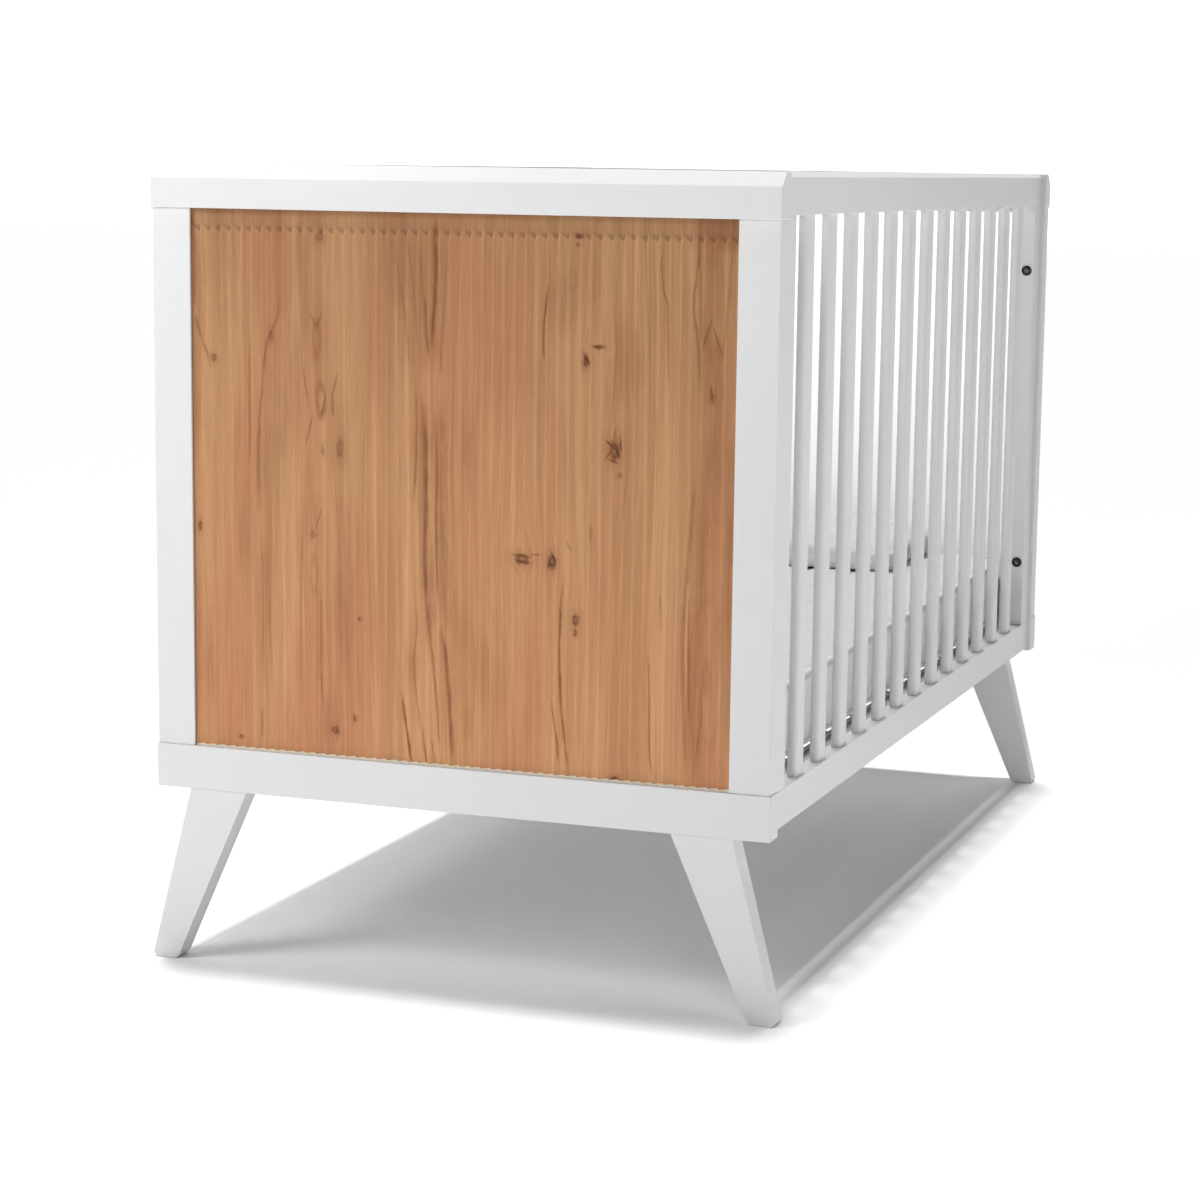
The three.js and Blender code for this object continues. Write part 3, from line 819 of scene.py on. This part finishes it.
def percale():
    """Plain-woven cotton of the pillow: warp and weft threads, soft creases."""
    shader = Shader("pillow_cotton")
    x, y, z = shader.split(shader.place)
    turns = math.tau / PERCALE_THREAD
    warp = shader.math("SINE", shader.times(shader.plus(x, z), turns))
    weft = shader.math("SINE", shader.times(shader.minus(y, z), turns))
    weave = shader.times_plus(shader.times(warp, weft), 0.5, 0.5)
    creases = shader.noise(shader.place, 26.0, 4.0, 0.6, 0.8)
    slub = shader.noise(shader.vector("MULTIPLY", shader.place, (60.0, 500.0, 60.0)), 1.0, 2.0, 0.5)
    tone = shader.ramp(shader.times_plus(creases, 0.6, shader.times(slub, 0.4)), 0.3, 0.7)
    shader.set(Base_Color=shader.mix(tone, (0.46, 0.46, 0.465), (0.53, 0.53, 0.53)))
    shader.set(Roughness=shader.ramp(slub, 0.3, 0.7, 0.8, 0.92))
    shader.set(Sheen_Weight=0.2, Sheen_Roughness=0.5, Specular_IOR_Level=0.25)
    threads = shader.bump(weave, 0.10 * MM, 0.4)
    shader.set(Normal=shader.bump(creases, 1.6 * MM, 0.5, threads))
    return shader.material


def floor_paint():
    """Matt white studio floor, with a trace of roller texture."""
    shader = Shader("studio_floor")
    roller = shader.noise(shader.place, 60.0, 3.0, 0.5)
    shader.set(Base_Color=shader.mix(shader.ramp(roller, 0.3, 0.7), *FLOOR_TONES))
    shader.set(Roughness=shader.ramp(roller, 0.3, 0.7, 0.85, 0.95))
    shader.set(Specular_IOR_Level=0.1)
    return shader.material


# ---------------------------------------------------------------- painted timber

GRAIN_ALONG_Y = ("end_top_rail", "end_bottom_rail")
GRAIN_ALONG_X = ("front_top_rail", "front_bottom_rail", "back_top_rail", "back_bottom_rail")


def ease_edges(node, radius):
    """Rounds a CAD node's hard edges with modifiers and leaves its mesh alone."""
    weld = node.modifiers.new("weld", "WELD")
    weld.merge_threshold = 0.01 * MM
    bevel = node.modifiers.new("eased_edges", "BEVEL")
    bevel.width = radius
    bevel.segments = 3
    bevel.limit_method = "ANGLE"
    bevel.angle_limit = SHARP_ANGLE
    weighted = node.modifiers.new("flat_faces", "WEIGHTED_NORMAL")
    weighted.keep_sharp = False
    node.data.shade_smooth()


def dress_painted_timber(paints):
    """Gives every painted CAD node that stays its eased edges and its lacquer."""
    for name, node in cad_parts.items():
        if name.endswith(("_rail", "_stile", "_leg")):
            along = 2
            if name.endswith(GRAIN_ALONG_Y):
                along = 1
            if name in GRAIN_ALONG_X:
                along = 0
            ease_edges(node, EDGE_RADIUS)
            node.material_slots[0].material = paints[along]


def make_slats(paint):
    """Round-edged bars in place of the faceted ones."""
    for name in sorted(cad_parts):
        if "_slat_" in name:
            low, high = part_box(name)
            middle = (low + high) / 2
            width = high.x - low.x
            depth = high.y - low.y
            levels = [(low.z, SLAT_END_CHAMFER), (low.z + SLAT_END_CHAMFER, 0.0),
                      (high.z - SLAT_END_CHAMFER, 0.0), (high.z, SLAT_END_CHAMFER)]
            rings = []
            for z, inset in levels:
                outline = rounded_rectangle(width - 2 * inset, depth - 2 * inset,
                                            SLAT_CORNER - inset, SLAT_CORNER_STEPS)
                rings.append([(middle.x + x, middle.y + y, z) for x, y in outline])
            slat = loft(name.replace("slat", "round_slat"), rings, paint)
            finish_piece(slat, "crib_frame", "white_lacquer", name)


# ---------------------------------------------------------------- end panels


def flute_fall(turn):
    """Depth of a flute at a share of its width: it scoops away and then rises steeply."""
    if turn < FLUTE_CREST:
        return math.sin(math.pi / 2 * turn / FLUTE_CREST)
    rise = (turn - FLUTE_CREST) / (1 - FLUTE_CREST)
    return 1 - rise * rise * (3 - 2 * rise)


def face_profile(low, high, opening, share):
    """Points across the oak face with their depths; share is how far the flutes have formed."""
    points = [(high.y, FLUTE_DEPTH), (opening / 2 + PANEL_MARGIN, FLUTE_DEPTH)]
    total = FLUTE_COUNT * FLUTE_STEPS
    for step in range(total + 1):
        turn = step % FLUTE_STEPS / FLUTE_STEPS
        depth = FLUTE_DEPTH * (flute_fall(turn) * share + (1 - share))
        points.append((opening / 2 - opening * step / total, depth))
    points.append((-opening / 2 - PANEL_MARGIN, FLUTE_DEPTH))
    points.append((low.y, FLUTE_DEPTH))
    return points


def face_levels(low, high):
    """Heights of the face's sections, with how far the flutes have formed at each."""
    header = PANEL_HIGH - HEADER_HEIGHT
    levels = [(low.z, 1.0), (PANEL_LOW, 1.0)]
    for row in range(1, FLUTE_ROWS + 1):
        levels.append((PANEL_LOW + (header - FLUTE_RUN_OUT - PANEL_LOW) * row / FLUTE_ROWS, 1.0))
    for row in range(1, RUN_OUT_ROWS + 1):
        turn = row / RUN_OUT_ROWS
        levels.append((header - FLUTE_RUN_OUT * (1 - turn), math.sqrt(max(0.0, 1 - turn * turn))))
    levels.append((PANEL_HIGH, 0.0))
    levels.append((high.z, 0.0))
    return levels


def panel_opening(end):
    """Width of the panel's opening between the stiles."""
    return -2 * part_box(f"{end}_front_stile")[1].y


def make_end_panel(end, wood, paint):
    """A fluted oak board and the white lining behind it, in place of the plain panel; gives the lining."""
    node = f"{end}_panel"
    low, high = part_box(node)
    outward = -1 if low.x < 0 else 1
    outer, inner = (low.x, high.x) if outward < 0 else (high.x, low.x)
    back = inner + outward * (LINING_THICKNESS + LINING_GAP)
    opening = panel_opening(end)
    rings = []
    for z, share in face_levels(low, high):
        profile = face_profile(low, high, opening, share)
        ring = [(outer - outward * depth, y, z) for y, depth in profile]
        ring += [(back, low.y, z), (back, high.y, z)]
        rings.append(ring)
    finish_piece(loft(f"{end}_fluted_oak", rings, wood), "crib_frame", "oak", node)

    outline = rounded_rectangle(high.y - low.y, high.z - low.z, LINING_CORNER, 4)
    middle_z = (low.z + high.z) / 2
    rings = []
    for depth, inset in [(0.0, LINING_CHAMFER), (LINING_CHAMFER, 0.0),
                         (LINING_THICKNESS - LINING_CHAMFER, 0.0), (LINING_THICKNESS, LINING_CHAMFER)]:
        scale_y = 1 - 2 * inset / (high.y - low.y)
        scale_z = 1 - 2 * inset / (high.z - low.z)
        x = inner + outward * depth
        rings.append([(x, y * scale_y, middle_z + z * scale_z) for y, z in outline])
    lining = loft(f"{end}_white_lining", rings, paint)
    return finish_piece(lining, "crib_frame", "white_lacquer", node)


# ---------------------------------------------------------------- fasteners


def circle(centre, radius, axis, offset, hexagonal=False):
    """A ring of points round the X axis, offset from a centre towards +X or -X (an axis of 1 or -1)."""
    sixth = math.radians(60)
    points = []
    for step in range(ROUND_STEPS):
        angle = math.tau * step / ROUND_STEPS
        reach = radius
        if hexagonal:
            reach = radius / math.cos((angle + sixth / 2) % sixth - sixth / 2)
        points.append((centre.x + axis * offset, centre.y + reach * math.cos(angle),
                       centre.z + reach * math.sin(angle)))
    return points


def socket_screw(name, seat, axis, length, head_height, material):
    """A domed socket screw that lies along X, its head standing from the seat towards axis."""
    shoulder = head_height - SCREW_DOME
    round_rings = [
        (SCREW_SHANK_RADIUS * 0.8, -length),
        (SCREW_SHANK_RADIUS, SCREW_SHANK_RADIUS * 0.3 - length),
        (SCREW_SHANK_RADIUS, 0.0),
        (SCREW_HEAD_RADIUS - 0.3 * MM, 0.0),
        (SCREW_HEAD_RADIUS, 0.3 * MM),
        (SCREW_HEAD_RADIUS, shoulder - SCREW_EDGE),
        (SCREW_HEAD_RADIUS - 0.3 * SCREW_EDGE, shoulder - 0.3 * SCREW_EDGE),
        (SCREW_HEAD_RADIUS - SCREW_EDGE, shoulder),
        (HEX_SOCKET + 1.2 * MM, head_height - 0.1 * MM),
        (HEX_SOCKET + 0.9 * MM, head_height),
    ]
    socket_rings = [
        (HEX_SOCKET, head_height - 0.3 * MM),
        (HEX_SOCKET, head_height - HEX_DEPTH),
        (HEX_SOCKET * 0.25, head_height - HEX_DEPTH - 0.6 * MM),
    ]
    rings = [circle(seat, radius, axis, offset) for radius, offset in round_rings]
    rings += [circle(seat, radius, axis, offset, True) for radius, offset in socket_rings]
    return loft(name, rings, material)


def cup_washer(name, seat, axis, material):
    """A turned ring with a rolled rim, round the head of a screw."""
    inner_radius = SCREW_HEAD_RADIUS + 0.1 * MM
    middle = (inner_radius + CUP_RADIUS) / 2
    half = (CUP_RADIUS - inner_radius) / 2
    section = [(inner_radius, 0.0), (CUP_RADIUS, 0.0)]
    for radial, up in arc((0, 0), 1.0, 0, 180, 10):
        section.append((middle + radial * half, CUP_HEIGHT * 0.45 + up * CUP_HEIGHT * 0.55))
    rings = [circle(seat, radius, axis, offset) for radius, offset in section]
    return loft(name, rings, material, closed=True)


def make_side_bolts(steel, black):
    """The eight bolts that hold the slatted sides to the ends, each in its cup washer."""
    for name in sorted(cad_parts):
        if "_bolt_" in name:
            low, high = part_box(name)
            middle = (low + high) / 2
            axis = 1 if middle.x < 0 else -1
            head_end = high.x if axis > 0 else low.x
            seat = Vector((head_end - axis * BOLT_HEAD_HEIGHT, middle.y, middle.z))
            length = high.x - low.x - BOLT_HEAD_HEIGHT
            screw = socket_screw(f"{name}_screw", seat, axis, length, BOLT_HEAD_HEIGHT, steel)
            finish_piece(screw, "crib_frame", "bolt_steel", name)
            finish_piece(cup_washer(f"{name}_cup", seat, axis, black), "crib_frame", "bolt_steel")


# ---------------------------------------------------------------- sprung base


def make_hanger_bolts(steel):
    """Four low screws through the hangers of the base frame."""
    low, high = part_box("support_frame")
    for end, along in (("foot", -1), ("head", 1)):
        for side, across in (("front", -1), ("back", 1)):
            seat = Vector((along * (high.x - HANGER_PLATE), across * (high.y - HANGER_HOLE_IN),
                           high.z - HANGER_HOLE_DOWN))
            screw = socket_screw(f"hanger_screw_{end}_{side}", seat, -along, HANGER_PLATE,
                                 HANGER_HEAD_HEIGHT, steel)
            finish_piece(screw, "mattress_base", "bolt_steel")


def make_wire_deck(wire):
    """Round wires welded over each other inside a bent edge wire."""
    low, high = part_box("wire_deck")
    middle_z = (low.z + high.z) / 2
    reach_x = high.x - EDGE_WIRE_RADIUS
    reach_y = high.y - EDGE_WIRE_RADIUS
    outline = rounded_rectangle(2 * reach_x, 2 * reach_y, EDGE_WIRE_BEND, 8)
    parts = [tube("edge_wire", [(x, y, middle_z) for x, y in outline], EDGE_WIRE_RADIUS, wire, True)]
    for index in range(CROSS_WIRES):
        x = reach_x * (2 * (index + 1) / (CROSS_WIRES + 1) - 1)
        z = middle_z + WIRE_RADIUS
        parts.append(tube("cross_wire", [(x, -reach_y, z), (x, 0.0, z), (x, reach_y, z)],
                          WIRE_RADIUS, wire, sides=WIRE_SIDES))
    for index in range(LONG_WIRES):
        y = reach_y * (2 * (index + 1) / (LONG_WIRES + 1) - 1)
        z = middle_z - WIRE_RADIUS
        parts.append(tube("long_wire", [(-reach_x, y, z), (0.0, y, z), (reach_x, y, z)],
                          WIRE_RADIUS, wire, sides=WIRE_SIDES))
    finish_piece(join("sprung_wire_deck", parts), "mattress_base", "base_steel", "wire_deck")


def dress_base_frame(coat):
    """The angle-iron frame of the base keeps its CAD shape."""
    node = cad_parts["support_frame"]
    ease_edges(node, METAL_EDGE_RADIUS)
    node.material_slots[0].material = coat


# ---------------------------------------------------------------- bedding


def soft_block(name, low, high, shrink, corner, edge, material):
    """A closed form in a box, round in plan and with rounded edges."""
    middle = (low + high) / 2
    half_z = (high.z - low.z) / 2 - shrink
    width = high.x - low.x - 2 * shrink
    depth = high.y - low.y - 2 * shrink
    levels = [(math.sin(math.radians(angle)), 1 - math.cos(math.radians(angle)))
              for angle in range(-90, 91, 15)]
    rings = []
    for rise, inset in levels:
        outline = rounded_rectangle(width - 2 * edge * inset, depth - 2 * edge * inset,
                                    max(corner - edge * inset, SMALLEST_CORNER), 8)
        z = middle.z + (half_z - edge) * (1 if rise > 0 else -1 if rise < 0 else 0) + edge * rise
        rings.append([(middle.x + x, middle.y + y, z) for x, y in outline])
    return loft(name, rings, material)


def remesh(piece, voxel):
    """An even skin of small faces over a closed form."""
    modifier = piece.modifiers.new("even_skin", "REMESH")
    modifier.mode = "VOXEL"
    modifier.voxel_size = voxel
    apply_modifiers(piece)


def apply_modifiers(piece):
    """Replaces the piece's mesh by what its modifiers make of it."""
    graph = bpy.context.evaluated_depsgraph_get()
    made = bpy.data.meshes.new_from_object(piece.evaluated_get(graph))
    piece.modifiers.clear()
    piece.data = made


def inflate(piece, pressure, cap):
    """Lets the cloth swell for some frames, then keeps its shape, moved by no more than cap."""
    before = [vertex.co.copy() for vertex in piece.data.vertices]
    cloth = piece.modifiers.new("cloth", "CLOTH")
    for name, value in CLOTH_SETTINGS.items():
        setattr(cloth.settings, name, value)
    cloth.settings.uniform_pressure_force = pressure
    cloth.settings.effector_weights.gravity = 0
    cloth.point_cache.frame_end = CLOTH_FRAMES
    scene = bpy.context.scene
    for number in range(1, CLOTH_FRAMES + 1):
        scene.frame_set(number)
    apply_modifiers(piece)
    scene.frame_set(1)
    for vertex, start in zip(piece.data.vertices, before):
        move = vertex.co - start
        if move.length > cap:
            vertex.co = start + move * (cap / move.length)


def refine(piece):
    """One subdivision, applied."""
    modifier = piece.modifiers.new("finer", "SUBSURF")
    modifier.levels = 1
    modifier.render_levels = 1
    apply_modifiers(piece)


def fill_height(piece, low, high):
    """Stretches a soft piece so that it reaches from one height to another."""
    heights = [vertex.co.z for vertex in piece.data.vertices]
    lowest, highest = min(heights), max(heights)
    for vertex in piece.data.vertices:
        share = (vertex.co.z - lowest) / (highest - lowest)
        vertex.co.z = low + share * (high - low)


def relax(value, start, end):
    """0 below start, 1 above end, and a smooth change between."""
    share = min(max((value - start) / (end - start), 0.0), 1.0)
    return share * share * (3 - 2 * share)


def quilt_sink(point):
    """How deep the sewn lines pull the mattress cover in at a point of its top."""
    turn = abs((point.y / QUILT_PITCH + 0.5) % 1.0 - 0.5) * 2
    channel = turn ** 3.0
    row = round(point.y / QUILT_PITCH)
    shift = 0.5 * (row % 2)
    along = abs((point.x / TUFT_PITCH + shift) % 1.0 - 0.5) * 2
    tuft = along ** 4.0 * TUFT_SHARE * (1 - channel)
    loose = noise.noise(Vector((point.x * 14, point.y * 9, 0.7)))
    return QUILT_DEPTH * (channel + tuft) * (1 + QUILT_LOOSENESS * loose)


def border_puff(along, up):
    """How far the quilted border stands out at a place on it, in diamonds between crossed seams."""
    rising = abs(math.sin(math.pi * (along + up) / DIAMOND))
    falling = abs(math.sin(math.pi * (along - up) / DIAMOND))
    loose = noise.noise(Vector((along * 7, up * 20, 1.9)))
    return DIAMOND_PUFF * math.sqrt(rising * falling) * (1 + BORDER_LOOSENESS * loose)


def keep_in_box(piece, low, high):
    """Holds every point of a soft piece in its box."""
    for vertex in piece.data.vertices:
        point = vertex.co
        point.x = min(max(point.x, low.x), high.x)
        point.y = min(max(point.y, low.y), high.y)
        point.z = min(max(point.z, low.z), high.z)


def rest_on(piece, low):
    """Lowers a soft piece onto a height and flattens what would bulge below or just above it."""
    lowest = min(vertex.co.z for vertex in piece.data.vertices)
    for vertex in piece.data.vertices:
        above = vertex.co.z - lowest
        pressed = FLATTENED * (1 - relax(above, FLATTENED, SQUASHED))
        vertex.co.z = low + max(above - pressed, 0.0)


def border_side(point, high):
    """The way straight out of the mattress at a point of its border; None at any other point."""
    away = Vector((point.x / high.x, point.y / high.y, 0.0))
    if max(abs(away.x), abs(away.y)) <= BORDER_REACH:
        return None
    if abs(away.x) >= abs(away.y):
        return Vector((math.copysign(1, away.x), 0.0, 0.0))
    return Vector((0.0, math.copysign(1, away.y), 0.0))


def sew_mattress(piece, low, high):
    """Quilts the top, and puffs out the border in diamonds between the two pipings that hold it."""
    middle = (low + high) / 2
    for vertex in piece.data.vertices:
        point = vertex.co
        upper = relax(point.z, high.z - QUILT_FADE[0], high.z - QUILT_FADE[1])
        lower = relax(low.z + FOOT_FADE[1] - point.z, 0.0, FOOT_FADE[1] - FOOT_FADE[0])
        point.z -= upper * quilt_sink(point)
        belt = math.cos(math.pi * (point.z - middle.z) / (high.z - low.z)) * (1 - upper) * (1 - lower)
        side = border_side(point, high)
        if side is not None:
            along = point.x if side.y else point.y
            point += side * (max(belt, 0.0) ** 0.3 * border_puff(along, point.z - middle.z))


def make_mattress(cover, tape):
    """A firm foam mattress: quilted top, puffed border, piping round both edges."""
    low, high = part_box("mattress")
    piece = soft_block("quilted_mattress", low, high, MATTRESS_SHRINK, MATTRESS_CORNER, MATTRESS_EDGE,
                       cover)
    remesh(piece, MATTRESS_VOXEL)
    inflate(piece, MATTRESS_PRESSURE, MATTRESS_SWELL)
    refine(piece)
    fill_height(piece, low.z, high.z)
    sew_mattress(piece, low, high)
    keep_in_box(piece, low, high)
    piece.data.shade_smooth()
    finish_piece(piece, "bedding", "mattress_cover", "mattress")
    skin = BVHTree.FromPolygons([vertex.co for vertex in piece.data.vertices],
                                [tuple(face.vertices) for face in piece.data.polygons])
    make_piping("mattress_piping_top", skin, low, high, high.z - PIPING_BELOW_TOP, tape)
    make_piping("mattress_piping_bottom", skin, low, high, low.z + PIPING_ABOVE_BOTTOM, tape)


def make_piping(name, skin, low, high, z, tape):
    """A cord sewn onto the skin of the mattress, all round it at one height."""
    middle = (low + high) / 2
    outline = rounded_rectangle(high.x - low.x, high.y - low.y, MATTRESS_CORNER, 12)
    path = []
    for start, end in zip(outline, outline[1:] + outline[:1]):
        steps = max(1, round(math.dist(start, end) / PIPING_STEP))
        for step in range(steps):
            share = step / steps
            x = middle.x + start[0] + (end[0] - start[0]) * share
            y = middle.y + start[1] + (end[1] - start[1]) * share
            seam = skin.find_nearest((x, y, z))[0]
            drift = PIPING_DRIFT * noise.noise(Vector((x * 9, y * 9, z * 9)))
            path.append((min(max(seam.x, low.x + PIPING_RADIUS), high.x - PIPING_RADIUS),
                         min(max(seam.y, low.y + PIPING_RADIUS), high.y - PIPING_RADIUS), z + drift))
    piping = tube(name, path, PIPING_RADIUS, tape, True, 10)
    finish_piece(piping, "bedding", "mattress_cover")


def shape_pillow(piece, low, high):
    """Thick in the middle, thin at the seam, the sides pulled in between the corners, and creased."""
    middle = (low + high) / 2
    half = (high - low) / 2
    seam = low.z + (high.z - low.z) * PILLOW_SEAM
    for vertex in piece.data.vertices:
        point = vertex.co
        u = (point.x - middle.x) / half.x
        v = (point.y - middle.y) / half.y
        away = (u ** 4 + v ** 4) ** 0.25
        crown = math.sqrt(max(1 - away * away, 0.0))
        over = point.z - seam
        point.x -= math.copysign(PILLOW_PULL[0] * max(0.0, 1 - v * v) * abs(u) ** 4, u)
        point.y -= math.copysign(PILLOW_PULL[1] * max(0.0, 1 - u * u) * abs(v) ** 4, v)
        if over > 0:
            point.z = seam + over * (PILLOW_SEAM_THICKNESS + (1 - PILLOW_SEAM_THICKNESS) * crown)
            crease = noise.noise(Vector((point.x * 16, point.y * 11, 3.1)))
            fine = noise.noise(Vector((point.x * 38, point.y * 30, 7.7)))
            point.z += PILLOW_CREASES[0] * crease + PILLOW_CREASES[1] * fine


def make_pillow(cover):
    """A flat baby pillow, crowned in the middle, pinched at a seam that runs round its edge."""
    low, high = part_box("pillow")
    piece = soft_block("flat_pillow", low, high, PILLOW_SHRINK, PILLOW_CORNER, PILLOW_EDGE, cover)
    remesh(piece, PILLOW_VOXEL)
    inflate(piece, PILLOW_PRESSURE, PILLOW_SWELL)
    refine(piece)
    fill_height(piece, low.z, high.z)
    shape_pillow(piece, low, high)
    rest_on(piece, low.z)
    keep_in_box(piece, low, high)
    piece.data.shade_smooth()
    finish_piece(piece, "bedding", "pillow_cover", "pillow")
    return piece


# ---------------------------------------------------------------- studio

CAMERA_PLACE = (-3.625, -1.262, 0.945)
CAMERA_FORWARD = (0.93332, 0.32486, -0.15290)
CAMERA_UP = (0.13956, 0.06410, 0.98814)
LENS = 85.37
SHIFT = (-0.0478, 0.0045)

FLOOR_SIZE = 60.0
FLOOR_TONES = ((0.935, 0.935, 0.935), (0.945, 0.945, 0.945))

SKY_TOWARDS = (0.88, 0.47, 0.0)  # the bright side of the sky, behind the crib
SKY_FADE = (0.5, 0.95)           # cosine of the angle to that side, where the sky is dim and bright
SKY_BRIGHT = 1.8
SKY_DIM = 0.04

SUN_WIDTH = math.radians(6)


def place_camera():
    """The camera looks along the crib from its foot end."""
    forward = Vector(CAMERA_FORWARD).normalized()
    right = forward.cross(Vector(CAMERA_UP)).normalized()
    up = right.cross(forward)
    camera = bpy.data.objects.new("camera", bpy.data.cameras.new("camera"))
    bpy.context.scene.collection.objects.link(camera)
    turn = Matrix((right, up, -forward)).transposed()
    camera.matrix_world = Matrix.Translation(CAMERA_PLACE) @ turn.to_4x4()
    camera.data.lens = LENS
    camera.data.sensor_width = 36
    camera.data.shift_x, camera.data.shift_y = SHIFT
    bpy.context.scene.camera = camera


def light(name, kind, place, target, energy, **settings):
    """A lamp at a place, aimed at a target."""
    data = bpy.data.lights.new(name, kind)
    data.energy = energy
    for key, value in settings.items():
        setattr(data, key, value)
    lamp = bpy.data.objects.new(name, data)
    bpy.context.scene.collection.objects.link(lamp)
    aim = Vector(target) - Vector(place)
    lamp.matrix_world = Matrix.Translation(place) @ aim.to_track_quat("-Z", "Y").to_matrix().to_4x4()
    return lamp


def light_studio():
    """A sun nearly straight above, a faint low one, and soft lamps round the foot end."""
    light("overhead", "SUN", (0.25, 0.1, 4), (0.0, 0.0, 0.0), 2.6, angle=SUN_WIDTH)
    light("low_sun", "SUN", (-3.875, -1.6, 2.725), (0.0, 0.0, 0.0), 0.15, angle=SUN_WIDTH)
    light("left", "AREA", (-1.9, 1.2, 1.75), (-0.7, 0.2, 0.65), 21.0, size=0.8)
    light("front", "AREA", (-2.2, 0.2, 1.0), (-0.7, 0.0, 0.6), 2.5, size=0.6)
    light("near", "AREA", (-0.5, -1.7, 0.9), (-0.5, -0.37, 0.55), 1.4, size=0.5)
    light("near_low", "AREA", (-0.75, -1.25, 0.6), (-0.55, -0.37, 0.5), 1.3, size=0.4)


def light_only(piece, lamp):
    """Keeps a lamp's light to one piece."""
    lit = bpy.data.collections.new(f"lit_by_{lamp.name}")
    lit.objects.link(piece)
    lamp.light_linking.receiver_collection = lit


def light_lining(lining):
    """A spot on the white board at the head end, so that it shows bright between the slats."""
    spot = light("lining_spot", "SPOT", (-1.2, 0.1, 2.2), (0.67, -0.17, 0.62), 260.0,
                 spot_size=math.radians(34), spot_blend=0.8, shadow_soft_size=0.05)
    light_only(lining, spot)


def light_pillow(pillow):
    """A soft lamp on the pillow's foot side, which the rails keep in the shade."""
    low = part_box("pillow")[0]
    lamp = light("pillow_lamp", "AREA", (-0.5, 0.0, 0.6), (low.x, -0.1, low.z), 3.2, size=0.4)
    light_only(pillow, lamp)


def light_sky():
    """A white sky that is bright behind the crib and dim everywhere else."""
    world = bpy.data.worlds.new("studio")
    world.use_nodes = True
    bpy.context.scene.world = world
    tree = world.node_tree
    background = tree.nodes["Background"]
    background.inputs["Color"].default_value = (1.0, 1.0, 1.0, 1.0)
    direction = tree.nodes.new("ShaderNodeTexCoord")
    towards = tree.nodes.new("ShaderNodeVectorMath")
    towards.operation = "DOT_PRODUCT"
    towards.inputs[1].default_value = Vector(SKY_TOWARDS).normalized()
    tree.links.new(direction.outputs["Generated"], towards.inputs[0])
    fade = tree.nodes.new("ShaderNodeMapRange")
    for socket, number in zip(list(fade.inputs)[1:5], (*SKY_FADE, SKY_DIM, SKY_BRIGHT)):
        socket.default_value = number
    tree.links.new(towards.outputs["Value"], fade.inputs["Value"])
    tree.links.new(fade.outputs[0], background.inputs["Strength"])


def lay_floor():
    """A wide white floor under the crib."""
    half = FLOOR_SIZE / 2
    mesh = bpy.data.meshes.new("floor")
    mesh.from_pydata([(-half, -half, 0), (half, -half, 0), (half, half, 0), (-half, half, 0)],
                     [], [(0, 1, 2, 3)])
    link("floor", mesh, floor_paint())


def build():
    """Makes the whole scene."""
    place_camera()
    light_studio()
    light_sky()
    lay_floor()
    bpy.context.scene.view_settings.view_transform = "Standard"

    paints = painted_materials()
    steel = dark_steel()
    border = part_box("mattress")[1].z - BORDER_TOP
    cover = knit("mattress_knit", (0.59, 0.59, 0.59), (0.53, 0.532, 0.535), 2.6 * MM, border)
    tape = knit("piping_tape", (0.70, 0.70, 0.70), (0.63, 0.63, 0.635), 1.4 * MM)

    dress_painted_timber(paints)
    make_slats(paints[2])
    wood = oak(panel_opening("foot_end"))
    make_end_panel("foot_end", wood, paints[2])
    light_lining(make_end_panel("head_end", wood, paints[2]))
    make_side_bolts(steel, black_oxide())
    dress_base_frame(powder_coat())
    make_hanger_bolts(steel)
    make_wire_deck(galvanised_wire())
    make_mattress(cover, tape)
    light_pillow(make_pillow(percale()))


build()
